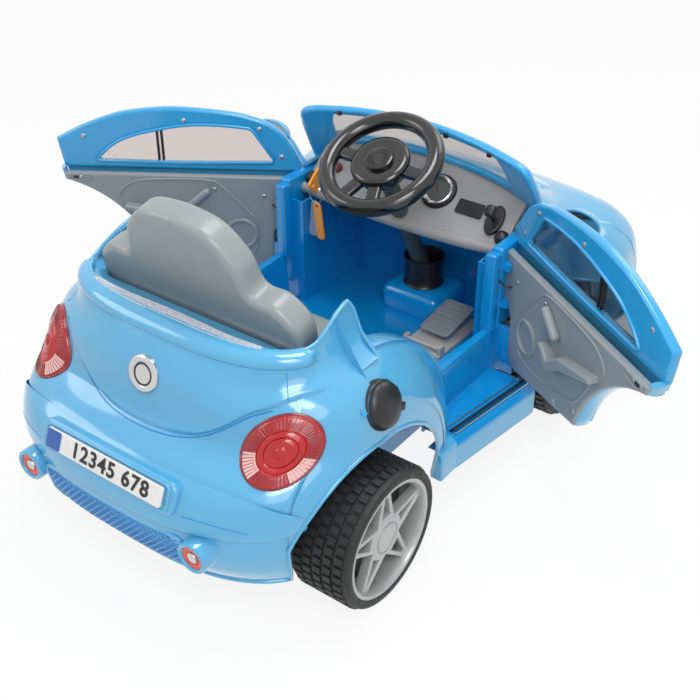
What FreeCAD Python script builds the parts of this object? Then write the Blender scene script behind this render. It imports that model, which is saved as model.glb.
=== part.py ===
import FreeCAD
import Part
import math
import os
import re

from FreeCAD import Placement, Rotation, Vector

# Child's electric ride-on car, in millimetres.
# +Y is forward, +X is the car's right, +Z is up; the origin is on the ground under the middle.
# The doors are modelled shut and then swung open about their hinges to the rest pose.

doc = FreeCAD.newDocument("ride_on_car")
sheet = doc.addObject("Spreadsheet::Sheet", "dims")

SIZES = {
    # wheels and axles
    "tyre_radius": 109,
    "tyre_width": 100,
    "tyre_shoulder": 9,
    "rim_radius": 90,
    "rim_wall": 6,
    "rim_inset": 4,
    "spoke_depth": 12,
    "spoke_face_inset": 14,
    "hub_radius": 24,
    "hub_length": 58,
    "wheel_outer_x": 323,
    "rear_axle_y": -326,
    "front_axle_y": 236,
    "axle_radius": 6,
    "running_clearance": 0.05,
    "axle_end_gap": 8,
    # body skins
    "skin": 4,
    "rear_arch_radius": 143,
    "front_arch_radius": 140,
    "rear_shut_radius": 222,
    "rear_arch_front_y": -292,
    "rear_arch_front_z": 100,
    "rear_arch_front_radius": 150,
    "jamb_radius": 255,
    "jamb_y": -296,
    "jamb_z": 100,
    "shut_line_y": -286,
    "shut_line_x": 232.5,
    "fin_front_y": -258,
    "fin_top_y": -266,
    "fin_top_z": 424,
    "lip_y": -361,
    "lip_z": 391,
    "deck_z": 366,
    "deck_front_y": -345,
    "cowl_y": 246,
    "cowl_deck_z": 318,
    "fender_back_y": 170,
    # tub
    "floor_z": 96,
    "floor_thick": 5,
    "foot_half": 186,
    "foot_front_y": 300,
    "foot_wall_top_z": 306,
    "well_wall_y": 118,
    "cabin_half": 204,
    "seat_deck_z": 150,
    "seat_riser_y": -84,
    "jamb_x": 232,
    "sill_back_y": -103,
    "sill_front_y": 98,
    "sill_top_z": 200,
    "sill_ledge_z": 125,
    "sill_base_z": 70,
    "sill_inner_x": 192,
    "sill_outer_x": 288,
    "sill_flare": 22,
    "post_x": 206,
    "post_width": 20,
    "post_y": 92,
    "post_depth": 22,
    "post_top_z": 336,
    "trim_width": 15,
    "trim_height": 3,
    # doors
    "hinge_x": 243,
    "hinge_y": 126,
    "hinge_pin_radius": 4,
    "hinge_barrel_radius": 7.5,
    "hinge_low_z": 240,
    "hinge_high_z": 320,
    "hinge_lug_height": 12,
    "hinge_gap": 1,
    "hinge_relief": 52,
    "door_open_angle": 56,
    "door_frame_x": 257,
    "door_zero_y": 157,
    "door_panel_depth": 22,
    "door_panel_thick": 4,
    "door_frame_thick": 14,
    "door_arc_gap": 4,
    "door_belt_z": 338,
    "door_wall": 10,
    "pane_thick": 3,
    "pane_lap": 6,
    "pane_fit": 0.2,
    "cord_radius": 1.5,
    # seat
    "seat_half": 176,
    "seat_front_y": -64,
    "seat_back_y": -262,
    "seat_top_z": 232,
    "seat_thick": 45,
    "seat_lean": 14.5,
    "seat_wall_thick": 7,
    # steering
    "wheel_centre_y": 95,
    "wheel_centre_z": 437,
    "column_lean": 29,
    "grip_ring_radius": 92,
    "grip_tube_radius": 14.5,
    "steer_hub_radius": 44,
    "steer_hub_depth": 34,
    "horn_radius": 24,
    "horn_height": 7,
    "horn_travel": 3,
    "horn_fit": 0.4,
    "column_radius": 8,
    "column_length": 408,
    "crank_length": 25,
    "crank_pin_radius": 3,
    "boot_radius": 30,
    "boot_height": 44,
    "boot_rim_radius": 33,
    "boot_y": 262,
    "kingpin_x": 236,
    "kingpin_radius": 4,
    "knuckle_radius": 10,
    "knuckle_half_height": 23,
    "knuckle_gap": 0.5,
    "arm_reach_y": 60,
    "arm_inset_x": 26,
    "arm_thick": 10,
    "arm_pin_radius": 3.5,
    "arm_pin_fit": 1.4,
    "arm_pin_back": 2,
    "arm_pin_ahead": 9,
    "tie_rod_z": 56,
    "tie_rod_height": 8,
    "tie_rod_width": 12,
    "beam_depth": 28,
    # drive and power
    "gearbox_length": 76,
    "gearbox_width": 44,
    "gearbox_height": 60,
    "motor_offset_y": 38,
    "motor_offset_z": 11,
    "motor_radius": 19,
    "motor_length": 70,
    "battery_length": 96,
    "battery_width": 70,
    "battery_height": 42,
    # controls
    "pedal_x": 90,
    "pedal_width": 62,
    "pedal_length": 128,
    "pedal_thick": 5,
    "pedal_back_y": 106,
    "pedal_hinge_z": 116,
    "pedal_tilt": 8,
    "pedal_pin_radius": 3,
    "dash_half": 208,
    "dash_low_y": 142,
    "dash_low_z": 316,
    "dash_slope": 39.7,
    "dash_face": 122,
    "dash_lip": 10,
    "column_gap": 6,
    "gauge_x": 50,
    "gauge_along": 72,
    "gauge_radius": 27,
    "gauge_height": 8,
    "badge_x": 120,
    "badge_along": 58,
    "badge_length": 50,
    "badge_width": 26,
    "badge_thick": 1.5,
    "shifter_x": 172,
    "shifter_along": 50,
    "shifter_half_length": 27,
    "shifter_half_width": 15,
    "shifter_height": 9,
    "lever_radius": 4.5,
    "lever_length": 26,
    "lever_gap": 1,
    "lock_x": -165,
    "lock_along": 14,
    "lock_radius": 9,
    "lock_height": 8,
    "key_shaft_radius": 3,
    "key_shaft_fit": 0.05,
    "key_head": 42,
    "key_thick": 5,
    "key_hole_radius": 4,
    "key_hole_inset": 9,
    "key_ring_radius": 14,
    "key_wire_radius": 1,
    "tag_length": 72,
    "tag_width": 18,
    "tag_thick": 4,
    # lamps, plate and trim
    "tail_lamp_long": 56,
    "tail_lamp_short": 45,
    "head_lamp_radius": 46,
    "exhaust_x": 159,
    "exhaust_z": 154,
    "exhaust_radius": 24,
    "exhaust_bore": 17,
    "exhaust_length": 40,
    "exhaust_back_y": -551,
    "emblem_radius": 27,
    "emblem_depth": 10,
    "plate_half": 110,
    "plate_height": 30,
    "plate_thick": 5,
    "fuel_y": -290,
    "fuel_z": 299,
    "fuel_radius": 28,
    "fuel_depth": 16,
    "fuel_rise": 7,
    "fuel_cap_gap": 0.3,
    "fuel_cap_height": 9,
    "fuel_arm_reach": 38,
    "mirror_x": 312,
    "mirror_y": 200,
    "mirror_z": 382,
    "mirror_half_width": 37,
    "mirror_half_depth": 24,
    "mirror_half_height": 23,
    "mirror_cut": 8,
    "mirror_glass_thick": 2,
    "stalk_radius": 8,
    "screw_radius": 4,
    "screw_height": 3,
    # windshield
    "shield_low_z": 338,
    "shield_top_y": 206,
    "shield_top_z": 470,
    "shield_rake": 0.6,
    "shield_bow": 56,
    "shield_half": 236,
    "shield_rail": 22,
    "shield_thick": 14,
    "shield_pane_thick": 3,
}

for row, (alias, size) in enumerate(SIZES.items(), start=1):
    sheet.set(f"A{row}", alias)
    sheet.set(f"B{row}", str(size))
    sheet.setAlias(f"B{row}", alias)
doc.recompute()


def dim(alias):
    """Value of one named size."""
    return float(sheet.get(alias))


def formula(text):
    """Expression text with every named size taken from the sheet."""
    return re.sub(r"[a-z]\w+", lambda word: "dims." + word.group(0), str(text))


def bind(obj, **texts):
    for prop, text in texts.items():
        obj.setExpression(prop.replace("__", "."), formula(text))
    return obj


def place(obj, x, y, z):
    return bind(obj, Placement__Base__x=x, Placement__Base__y=y, Placement__Base__z=z)


def box(name, x, y, z, length, width, height):
    """Box from its low corner."""
    obj = doc.addObject("Part::Box", name)
    bind(obj, Length=length, Width=width, Height=height)
    return place(obj, x, y, z)


TURNS = {
    "x": Rotation(Vector(0, 1, 0), 90),
    "y": Rotation(Vector(1, 0, 0), -90),
    "z": Rotation(),
}


def rod(name, along, radius, length, x, y, z):
    """Cylinder that starts at x, y, z and runs along a positive axis."""
    obj = doc.addObject("Part::Cylinder", name)
    obj.Placement = Placement(Vector(), TURNS[along])
    bind(obj, Radius=radius, Height=length)
    return place(obj, x, y, z)


def joined(name, parts):
    obj = doc.addObject("Part::MultiFuse", name)
    obj.Shapes = parts
    return obj


def minus(name, base, tools):
    obj = doc.addObject("Part::Cut", name)
    obj.Base = base
    obj.Tool = tools[0] if len(tools) == 1 else joined(name + "_tools", tools)
    return obj


def overlap(name, first, second):
    obj = doc.addObject("Part::Common", name)
    obj.Base = first
    obj.Tool = second
    return obj


def mirrored(name, source):
    """Copy of a right-hand object on the left-hand side."""
    obj = doc.addObject("Part::Mirroring", name)
    obj.Source = source
    obj.Normal = Vector(1, 0, 0)
    return obj


def group(name, parts):
    obj = doc.addObject("Part::Compound", name)
    obj.Links = parts
    return obj


def feature(name, shape):
    obj = doc.addObject("Part::Feature", name)
    obj.Shape = shape
    return obj


def pair(name, right):
    return group(name, [right, mirrored(name + "_left", right)])


nodes = {}


def keep(label, obj):
    """Register an object as one named piece of the assembly."""
    nodes[label] = obj
    return obj


# Outlines and surfaces

def ease(points, at):
    """Monotone cubic through (position, value) points, flat beyond both ends."""
    if at <= points[0][0]:
        return points[0][1]
    if at >= points[-1][0]:
        return points[-1][1]
    gaps = [b[0] - a[0] for a, b in zip(points, points[1:])]
    slopes = [(b[1] - a[1]) / gap for a, b, gap in zip(points, points[1:], gaps)]
    tangents = [slopes[0]]
    for before, after in zip(slopes, slopes[1:]):
        same_way = before * after > 0
        tangents.append(2 * before * after / (before + after) if same_way else 0)
    tangents.append(slopes[-1])
    cell = max(i for i in range(len(gaps)) if points[i][0] <= at)
    gap = gaps[cell]
    t = (at - points[cell][0]) / gap
    return (
        (1 + 2 * t) * (1 - t) ** 2 * points[cell][1]
        + t * (1 - t) ** 2 * gap * tangents[cell]
        + t * t * (3 - 2 * t) * points[cell + 1][1]
        + t * t * (t - 1) * gap * tangents[cell + 1]
    )


def closed_curve(points):
    curve = Part.BSplineCurve()
    curve.interpolate(points, PeriodicFlag=True)
    return Part.Wire(curve.toShape())


def open_curve(points):
    curve = Part.BSplineCurve()
    curve.interpolate(points)
    return curve.toShape()


def polygon(points):
    return Part.makePolygon(points + [points[0]])


def prism(points, along):
    """Straight-sided solid from a flat outline."""
    return Part.Face(polygon(points)).extrude(along)


def end_slice(z, half_width, end_y, power, start_y, back_y, drop):
    """Level section of one end of the body: a rounded end and two straight sides."""
    forward = 1 if end_y(z) > start_y else -1
    depth = abs(end_y(z) - start_y)
    points = []
    for degrees in (-90, -80, -68, -55, -42, -29, -17, -8, 0, 8, 17, 29, 42, 55, 68, 80, 90):
        angle = math.radians(degrees)
        side = abs(math.sin(angle))
        across = half_width(z + drop * (1 - side)) * side ** (2 / power(z))
        x = math.copysign(across, degrees)
        y = start_y + forward * depth * abs(math.cos(angle)) ** (2 / power(z))
        points.append(Vector(x, y, z))
    left = Vector(points[0].x, back_y, z)
    right = Vector(points[-1].x, back_y, z)
    edges = [open_curve(points)]
    edges.append(Part.makeLine(points[-1], right))
    edges.append(Part.makeLine(right, left))
    edges.append(Part.makeLine(left, points[0]))
    return Part.Wire(edges)


def end_solid(levels, widths, ends, powers, start_y, back_y, drop, inset=0, lower=0):
    """Solid through level sections; inset and lower give the matching inner solid."""
    forward = 1 if ends[0][1] > start_y else -1
    wires = []
    for z in levels:
        wires.append(end_slice(
            z,
            lambda at: ease(widths, at + lower) - inset,
            lambda at: ease(ends, at + lower) - forward * inset,
            lambda at: ease(powers, at + lower),
            start_y,
            back_y,
            drop,
        ))
    return Part.makeLoft(wires, True, True)


# Rear body: level by level half width, rear end at the middle and roundness of the corners

REAR_WIDTHS = [
    (60, 268), (80, 272), (120, 279), (170, 284), (215, 286), (245, 286), (270, 284), (300, 278),
    (322, 268), (338, 254), (348, 238), (358, 224), (372, 215), (392, 208), (440, 199),
]
REAR_ENDS = [
    (60, -500), (82, -517), (120, -542), (154, -549), (200, -546), (225, -534), (242, -512),
    (256, -484), (270, -464), (289, -456), (327, -449), (350, -438), (372, -422), (392, -405), (440, -385),
]
REAR_POWERS = [(60, 2.8), (240, 2.9), (300, 2.7), (345, 2.6), (375, 3.0), (392, 3.3), (440, 3.3)]
REAR_LEVELS = [
    60, 82, 105, 130, 154, 178, 200, 214, 228, 242, 256, 270,
    289, 308, 327, 338, 348, 358, 372, 392, 415, 440,
]
REAR_START_Y = -300
REAR_FRONT_Y = -60
REAR_DROP = 30
skin = dim("skin")

rear_outer = feature("rear_outer", end_solid(
    REAR_LEVELS, REAR_WIDTHS, REAR_ENDS, REAR_POWERS, REAR_START_Y, REAR_FRONT_Y, REAR_DROP,
))
rear_inner = feature("rear_inner", end_solid(
    [50] + REAR_LEVELS + [450],
    REAR_WIDTHS, REAR_ENDS, REAR_POWERS, REAR_START_Y, REAR_FRONT_Y + 10, REAR_DROP, inset=skin,
))

axle_y = dim("rear_axle_y")
axle_z = dim("tyre_radius")
REACH = 400


def side_prism(points, from_x, to_x):
    """Outline in the side view, pushed across the car."""
    return prism([Vector(from_x, y, z) for y, z in points], Vector(to_x - from_x, 0, 0))


rear_side = feature("rear_side", side_prism([
    (-600, 78),
    (-600, dim("lip_z")),
    (dim("lip_y"), dim("lip_z")),
    (dim("lip_y") + 40, dim("lip_z") + 12),
    (dim("fin_top_y"), dim("fin_top_z")),
    (dim("fin_front_y") + 2, dim("fin_top_z") - 18),
    (dim("fin_front_y") + 6, 330),
    (dim("fin_front_y") + 140, 300),
    (dim("fin_front_y") + 140, 78),
], -REACH, REACH))

rear_deck_slab = box(
    "rear_deck_slab", -REACH, -600, "deck_z", 2 * REACH, "deck_front_y + 600", "skin",
)
rear_hollow = minus("rear_hollow", rear_inner, [rear_deck_slab])
rear_skin = minus("rear_skin", rear_outer, [rear_hollow])
rear_trimmed = overlap("rear_trimmed", rear_skin, rear_side)

rear_arch = rod(
    "rear_arch", "x", "rear_arch_radius", 2 * REACH, -REACH, "rear_axle_y", "tyre_radius",
)
rear_arch_front = rod(
    "rear_arch_front", "x", "rear_arch_front_radius", 2 * REACH,
    -REACH, "rear_arch_front_y", "rear_arch_front_z",
)
shut_block = box(
    "shut_block", "shut_line_x", "shut_line_y", 60, 200, 500, 460,
)
shut_round = rod(
    "shut_round", "x", "rear_shut_radius", 2 * REACH, -REACH, "rear_axle_y", "tyre_radius",
)
door_space = minus("door_space", shut_block, [shut_round])
door_space_left = mirrored("door_space_left", door_space)

# Front body

FRONT_WIDTHS = [
    (60, 282), (100, 287), (150, 292), (220, 292), (255, 288), (280, 281), (300, 270), (318, 254),
    (334, 236), (350, 219), (365, 203), (378, 185), (388, 164), (396, 140),
]
FRONT_ENDS = [
    (60, 492), (80, 512), (110, 536), (150, 550), (190, 551), (225, 542), (250, 527), (275, 503),
    (300, 470), (320, 438), (340, 400), (355, 366), (370, 326), (380, 296), (388, 270), (396, 250),
]
FRONT_POWERS = [(60, 2.8), (200, 2.8), (260, 2.7), (320, 2.5), (396, 2.3)]
FRONT_LEVELS = [60, 80, 110, 150, 190, 225, 250, 275, 300, 318, 334, 350, 365, 377, 386, 394]
FRONT_START_Y = 250
FRONT_BACK_Y = 120
FRONT_DROP = 18

front_outer = feature("front_outer", end_solid(
    FRONT_LEVELS, FRONT_WIDTHS, FRONT_ENDS, FRONT_POWERS, FRONT_START_Y, FRONT_BACK_Y, FRONT_DROP,
))
front_inner = feature("front_inner", end_solid(
    [50] + [level - skin for level in FRONT_LEVELS],
    FRONT_WIDTHS, FRONT_ENDS, FRONT_POWERS, FRONT_START_Y, FRONT_BACK_Y - 10, FRONT_DROP,
    inset=skin, lower=skin,
))
front_deck_slab = box(
    "front_deck_slab", -REACH, "foot_front_y - skin", "cowl_deck_z", 2 * REACH, 300, "skin",
)
front_hollow = minus("front_hollow", front_inner, [front_deck_slab])
front_skin = minus("front_skin", front_outer, [front_hollow])
front_arch = rod(
    "front_arch", "x", "front_arch_radius", 2 * REACH, -REACH, "front_axle_y", "tyre_radius",
)
front_back_space = box(
    "front_back_space", -REACH, 0, 40, 2 * REACH, "fender_back_y", 460,
)
dash_space = box(
    "dash_space", "-dash_half - 2", 0, 40, "2 * dash_half + 4", "cowl_y", 460,
)
front_base_space = box("front_base_space", -REACH, 0, 40, 2 * REACH, 700, 38)
hinge_space = rod(
    "hinge_space", "z", "hinge_relief", 460, "hinge_x", "hinge_y", 40,
)
hinge_space_left = mirrored("hinge_space_left", hinge_space)

# Tub: floor, walls, seat deck, sills, door jambs and hinge posts

floor_z = dim("floor_z")
foot_half = dim("foot_half")
riser_y = dim("seat_riser_y")
well_y = dim("well_wall_y")
flare = dim("sill_flare")
sill_inner = dim("sill_inner_x")
WALL_FLARE = 0.6
ROCKER_FLARE = 1.2

FLOOR_OUTLINE = [
    (foot_half + 10, riser_y - skin),
    (sill_inner + WALL_FLARE * flare + 3, well_y - skin),
    (foot_half, well_y - skin),
    (foot_half, dim("foot_front_y")),
]
floor = feature("floor", prism(
    [Vector(x, y, floor_z) for x, y in FLOOR_OUTLINE]
    + [Vector(-x, y, floor_z) for x, y in reversed(FLOOR_OUTLINE)],
    Vector(0, 0, dim("floor_thick")),
))
firewall = box(
    "firewall", "-foot_half", "foot_front_y - skin", "floor_z",
    "2 * foot_half", "skin", "cowl_deck_z - floor_z",
)
foot_wall = box(
    "foot_wall", "foot_half - skin", "well_wall_y - skin", "floor_z",
    "skin", "foot_front_y - well_wall_y + skin", "foot_wall_top_z - floor_z",
)
well_wall = box(
    "well_wall", "foot_half - skin", "well_wall_y - skin", "floor_z",
    "post_x + post_width - foot_half + skin", "skin", "foot_wall_top_z - floor_z",
)
seat_deck = box(
    "seat_deck", "-cabin_half", "deck_front_y - skin", "seat_deck_z - skin",
    "2 * cabin_half", "seat_riser_y - deck_front_y + skin", "skin",
)
seat_riser = box(
    "seat_riser", "-cabin_half", "seat_riser_y - skin", "floor_z",
    "2 * cabin_half", "skin", "seat_deck_z - floor_z",
)
battery_floor = box(
    "battery_floor", "-cabin_half", "rear_axle_y + 64", "floor_z",
    "2 * cabin_half", "seat_riser_y - rear_axle_y - 64", "skin",
)
back_wall = box(
    "back_wall", "-cabin_half", "deck_front_y - skin", "floor_z",
    "2 * cabin_half", "skin", "deck_z - floor_z",
)
jamb_round = rod(
    "jamb_round", "x", "jamb_radius", "skin", "cabin_half - skin", "jamb_y", "jamb_z",
)
jamb_limit = box(
    "jamb_limit", 0, "deck_front_y - skin", "floor_z",
    REACH, "sill_back_y - deck_front_y + 60", "deck_z - floor_z",
)
cabin_wall = overlap("cabin_wall", jamb_round, jamb_limit)
jamb_strip_outer = rod(
    "jamb_strip_outer", "x", "jamb_radius", "jamb_x - cabin_half + skin",
    "cabin_half - skin", "jamb_y", "jamb_z",
)
jamb_strip_inner = rod(
    "jamb_strip_inner", "x", "jamb_radius - skin", REACH, 0, "jamb_y", "jamb_z",
)
jamb_plate_outer = rod(
    "jamb_plate_outer", "x", "jamb_radius", "skin", "jamb_x - skin", "jamb_y", "jamb_z",
)
jamb_plate_inner = rod(
    "jamb_plate_inner", "x", "rear_shut_radius - 6", REACH, 0, "rear_axle_y", "tyre_radius",
)
jamb_front = box(
    "jamb_front", 0, "fin_front_y - 30", "sill_ledge_z - skin",
    REACH, 300, "deck_z - sill_ledge_z",
)
jamb_strip = overlap(
    "jamb_strip", minus("jamb_ring", jamb_strip_outer, [jamb_strip_inner]), jamb_front,
)
jamb_plate = overlap(
    "jamb_plate", minus("jamb_band", jamb_plate_outer, [jamb_plate_inner]), jamb_front,
)


def sill_section(y, shift):
    """Thin section of one sill: inner wall, top, door ledge and rocker; the door face stays straight."""
    inner = dim("sill_inner_x")
    outer = dim("sill_outer_x")
    top = dim("sill_top_z")
    ledge = dim("sill_ledge_z")
    base = dim("sill_base_z")
    lean_in_wall = WALL_FLARE * shift
    rocker_out = ROCKER_FLARE * shift
    wall = [
        (inner + skin, floor_z), (inner, floor_z), (inner + 8, top),
    ]
    door_face = [(inner + 32, top), (inner + 36, ledge)]
    rocker = [
        (outer - 12, ledge), (outer, ledge - 9), (outer, base), (outer - skin, base),
        (outer - skin, ledge - 11), (outer - 14, ledge - skin),
    ]
    underside = [(inner + 32, ledge - skin), (inner + 28, top - skin)]
    trace = [(x + lean_in_wall, z) for x, z in wall]
    trace += door_face
    trace += [(x + rocker_out, z) for x, z in rocker]
    trace += underside
    trace.append((inner + 12 + lean_in_wall, top - skin))
    return polygon([Vector(x, y, z) for x, z in trace])


sill = feature("sill", Part.makeLoft(
    [sill_section(dim("sill_back_y"), 0), sill_section(dim("sill_front_y"), flare)], True, True,
))
post = box(
    "post", "post_x", "post_y", "sill_top_z - skin",
    "post_width", "post_depth", "post_top_z - sill_top_z + skin",
)


def hinge_lug(name, z):
    """Ear on the post that holds one end of the hinge pin."""
    ear = rod(name + "_ear", "z", "hinge_barrel_radius", "hinge_lug_height", "hinge_x", "hinge_y", z)
    web = box(
        name + "_web", "post_x + post_width - 8", "post_y + post_depth - 4", z,
        "hinge_x - post_x - post_width + 8", "hinge_y - post_y - post_depth + 4", "hinge_lug_height",
    )
    return joined(name, [ear, web])


low_lug = hinge_lug("low_lug", "hinge_low_z")
high_lug = hinge_lug("high_lug", "hinge_high_z - hinge_lug_height")
hinge_pin = rod(
    "hinge_pin", "z", "hinge_pin_radius", "hinge_high_z - hinge_low_z", "hinge_x", "hinge_y", "hinge_low_z",
)
side_parts = joined("side_parts", [
    foot_wall, well_wall, cabin_wall, jamb_strip, jamb_plate, sill, post, low_lug, high_lug,
])
side_drilled = minus("side_drilled", side_parts, [hinge_pin])
tub_middle = joined("tub_middle", [floor, firewall, seat_deck, seat_riser, battery_floor, back_wall])
tub_raw = joined("tub_raw", [tub_middle, side_drilled, mirrored("side_drilled_left", side_drilled)])

# Seat: one moulding with a cloud-shaped back

seat_back_y = dim("seat_back_y")
seat_deck_z = dim("seat_deck_z")
CLOUD = [
    (0, 542), (60, 532), (98, 494), (112, 450), (150, 446), (180, 420), (184, 384),
    (172, 340), (172, 270), (172, seat_deck_z + 2),
]
lean = math.tan(math.radians(dim("seat_lean")))


def lean_y(z):
    """Front face of the backrest at a height."""
    return seat_back_y - (z - dim("seat_top_z")) * lean


def back_face(x, z):
    return Vector(x, lean_y(z), z)


right_edge = open_curve([back_face(x, z) for x, z in CLOUD])
left_edge = open_curve([back_face(-x, z) for x, z in CLOUD])
base_edge = Part.makeLine(back_face(172, seat_deck_z + 2), back_face(-172, seat_deck_z + 2))
backrest_face = Part.Face(Part.Wire(Part.__sortEdges__([right_edge, base_edge, left_edge])))
angle = math.radians(dim("seat_lean"))
backrest = backrest_face.extrude(
    Vector(0, -math.cos(angle) * dim("seat_thick"), -math.sin(angle) * dim("seat_thick")),
)
seat_back = feature("seat_back", backrest)
cushion = box(
    "cushion", "-seat_half", "seat_back_y - 40", "seat_deck_z",
    "2 * seat_half", "seat_front_y - seat_back_y + 40", "seat_top_z - seat_deck_z",
)
cushion_round = doc.addObject("Part::Fillet", "cushion_round")
cushion_round.Base = cushion
cushion_round.Edges = [(number, 14.0, 14.0) for number in (2, 6, 9, 10, 11, 12)]
seat_hollow = box(
    "seat_hollow", "-seat_half + seat_wall_thick", "seat_back_y - 20", 0,
    "2 * seat_half - 2 * seat_wall_thick", "seat_front_y - seat_back_y + 20 - seat_wall_thick",
    "seat_top_z - seat_wall_thick",
)
hollow_low = seat_deck_z + 20
hollow_high = 430
back_hollow = feature("back_hollow", prism(
    [back_face(x, z) + Vector(0, -dim("seat_wall_thick"), 0)
     for x, z in ((150, hollow_low), (150, 400), (90, hollow_high), (60, 505), (-60, 505), (-90, hollow_high),
                  (-150, 400), (-150, hollow_low))],
    Vector(0, -math.cos(angle), -math.sin(angle)) * (dim("seat_thick") - 2 * dim("seat_wall_thick")),
))
seat_floor = box("seat_floor", -REACH, -600, 0, 2 * REACH, 900, "seat_deck_z")
seat_wall = box("seat_wall", -REACH, -600, 0, 2 * REACH, "deck_front_y + 600", "deck_z + skin")
seat = keep("seat", minus(
    "seat",
    joined("seat_blank", [seat_back, cushion_round]),
    [seat_floor, seat_wall, seat_hollow, back_hollow],
))

# Running gear


def wheel(suffix, axle, side):
    """Tyre and rim of one wheel; side is 1 on the right and -1 on the left."""
    def across(name, radius, length, inner):
        start = inner if side > 0 else f"-({inner}) - ({length})"
        return rod(f"{name}_{suffix}", "x", radius, length, start, axle, "tyre_radius")

    inner_face = "wheel_outer_x - tyre_width"
    tread = across("tread", "tyre_radius", "tyre_width", inner_face)
    rounded = doc.addObject("Part::Fillet", f"rounded_{suffix}")
    rounded.Base = tread
    shoulder = dim("tyre_shoulder")
    rounded.Edges = [(1, shoulder, shoulder), (3, shoulder, shoulder)]
    seat_bore = across("seat_bore", "rim_radius", "tyre_width", inner_face)
    tyre = minus(f"tyre_{suffix}", rounded, [seat_bore])

    drum = across("drum", "rim_radius", "tyre_width - 2 * rim_inset", inner_face + " + rim_inset")
    hollow = across(
        "hollow", "rim_radius - rim_wall", "tyre_width - spoke_face_inset - spoke_depth", inner_face,
    )
    dish = across("dish", "rim_radius - rim_wall", "spoke_face_inset", "wheel_outer_x - spoke_face_inset")
    hub = across(
        "hub", "hub_radius", "hub_length", "wheel_outer_x - spoke_face_inset - hub_length + 6",
    )
    bore = across(
        "bore", "axle_radius + running_clearance", "tyre_width - axle_end_gap + 1", inner_face + " - 1",
    )
    windows = []
    for number in range(5):
        turn = math.radians(90 + 72 * number)
        for half, offset in (("a", 18), ("b", -18)):
            spot = turn + math.radians(offset)
            window = rod(
                f"window_{suffix}_{number}{half}", "x", 13, 60,
                "wheel_outer_x - 50" if side > 0 else "-wheel_outer_x - 10",
                f"{axle} + {round(60 * math.cos(spot), 3)}",
                f"tyre_radius + {round(60 * math.sin(spot), 3)}",
            )
            windows.append(window)
    disc = minus(f"disc_{suffix}", drum, [hollow, dish] + windows)
    rim = minus(f"rim_{suffix}", joined(f"rim_blank_{suffix}", [disc, hub]), [bore])
    keep(f"tyre_{suffix}", tyre)
    keep(f"rim_{suffix}", rim)


wheel("rear_right", "rear_axle_y", 1)
wheel("rear_left", "rear_axle_y", -1)
wheel("front_right", "front_axle_y", 1)
wheel("front_left", "front_axle_y", -1)

rear_axle = keep("rear_axle", rod(
    "rear_axle", "x", "axle_radius", "2 * wheel_outer_x - 2 * axle_end_gap - 2 * running_clearance",
    "-wheel_outer_x + axle_end_gap + running_clearance", "rear_axle_y", "tyre_radius",
))
axle_space = rod("axle_space", "x", "axle_radius", 2 * REACH, -REACH, "rear_axle_y", "tyre_radius")
gearbox_block = box(
    "gearbox_block", "cabin_half - skin - gearbox_width", "deck_front_y + 2",
    "seat_deck_z - skin - gearbox_height - 2",
    "gearbox_width", "gearbox_length", "gearbox_height",
)
keep("gearbox_housing", minus("gearbox_housing", gearbox_block, [axle_space]))
keep("drive_motor", rod(
    "drive_motor", "x", "motor_radius", "motor_length",
    "cabin_half - skin - gearbox_width - motor_length",
    "rear_axle_y + motor_offset_y", "tyre_radius + motor_offset_z",
))
keep("battery", box(
    "battery", "-battery_length / 2", "seat_riser_y - skin - 30 - battery_width", "floor_z + skin",
    "battery_length", "battery_width", "battery_height",
))

# Front beam with kingpins, knuckles and tie rod

beam_bar = box(
    "beam_bar", "-foot_half", "front_axle_y - beam_depth / 2", "floor_z - 22",
    "2 * foot_half", "beam_depth", 22,
)


def fork_arm(name, z):
    return box(
        name, "foot_half", "front_axle_y - beam_depth / 2", z,
        "kingpin_x + knuckle_radius - foot_half", "beam_depth", 10,
    )


fork_top = fork_arm("fork_top", "tyre_radius + knuckle_half_height + knuckle_gap")
fork_low = fork_arm("fork_low", "tyre_radius - knuckle_half_height - knuckle_gap - 10")
fork_web = box(
    "fork_web", "foot_half", "front_axle_y - beam_depth / 2",
    "tyre_radius - knuckle_half_height - knuckle_gap - 10",
    12, "beam_depth", "2 * knuckle_half_height + 2 * knuckle_gap + 20",
)
kingpin = rod(
    "kingpin", "z", "kingpin_radius", "2 * knuckle_half_height + 2 * knuckle_gap + 20",
    "kingpin_x", "front_axle_y", "tyre_radius - knuckle_half_height - knuckle_gap - 10",
)
fork = joined("fork", [fork_top, fork_low, fork_web, kingpin])
keep("front_beam", joined("front_beam", [beam_bar, fork, mirrored("fork_left", fork)]))

barrel = rod(
    "barrel", "z", "knuckle_radius", "2 * knuckle_half_height",
    "kingpin_x", "front_axle_y", "tyre_radius - knuckle_half_height",
)
stub = rod(
    "stub", "x", "axle_radius", "wheel_outer_x - axle_end_gap - running_clearance - kingpin_x",
    "kingpin_x", "front_axle_y", "tyre_radius",
)
arm_low = dim("tyre_radius") - dim("knuckle_half_height") + 1
arm_end = Vector(dim("kingpin_x") - dim("arm_inset_x"), dim("front_axle_y") - dim("arm_reach_y"), arm_low)
arm_root = Vector(dim("kingpin_x"), dim("front_axle_y"), arm_low)
arm_side = Vector(dim("arm_reach_y"), -dim("arm_inset_x"), 0).normalize().multiply(6)
steering_arm = feature("steering_arm", prism(
    [arm_root + arm_side, arm_root - arm_side, arm_end - arm_side, arm_end + arm_side],
    Vector(0, 0, dim("arm_thick")),
))
arm_pin = rod(
    "arm_pin", "z", "arm_pin_radius", f"{arm_low} + arm_thick - tie_rod_z + 1",
    "kingpin_x - arm_inset_x", "front_axle_y - arm_reach_y", "tie_rod_z - 1",
)
kingpin_bore = rod(
    "kingpin_bore", "z", "kingpin_radius + running_clearance", 200, "kingpin_x", "front_axle_y", 20,
)
knuckle_blank = joined("knuckle_blank", [barrel, stub, steering_arm, arm_pin])
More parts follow.
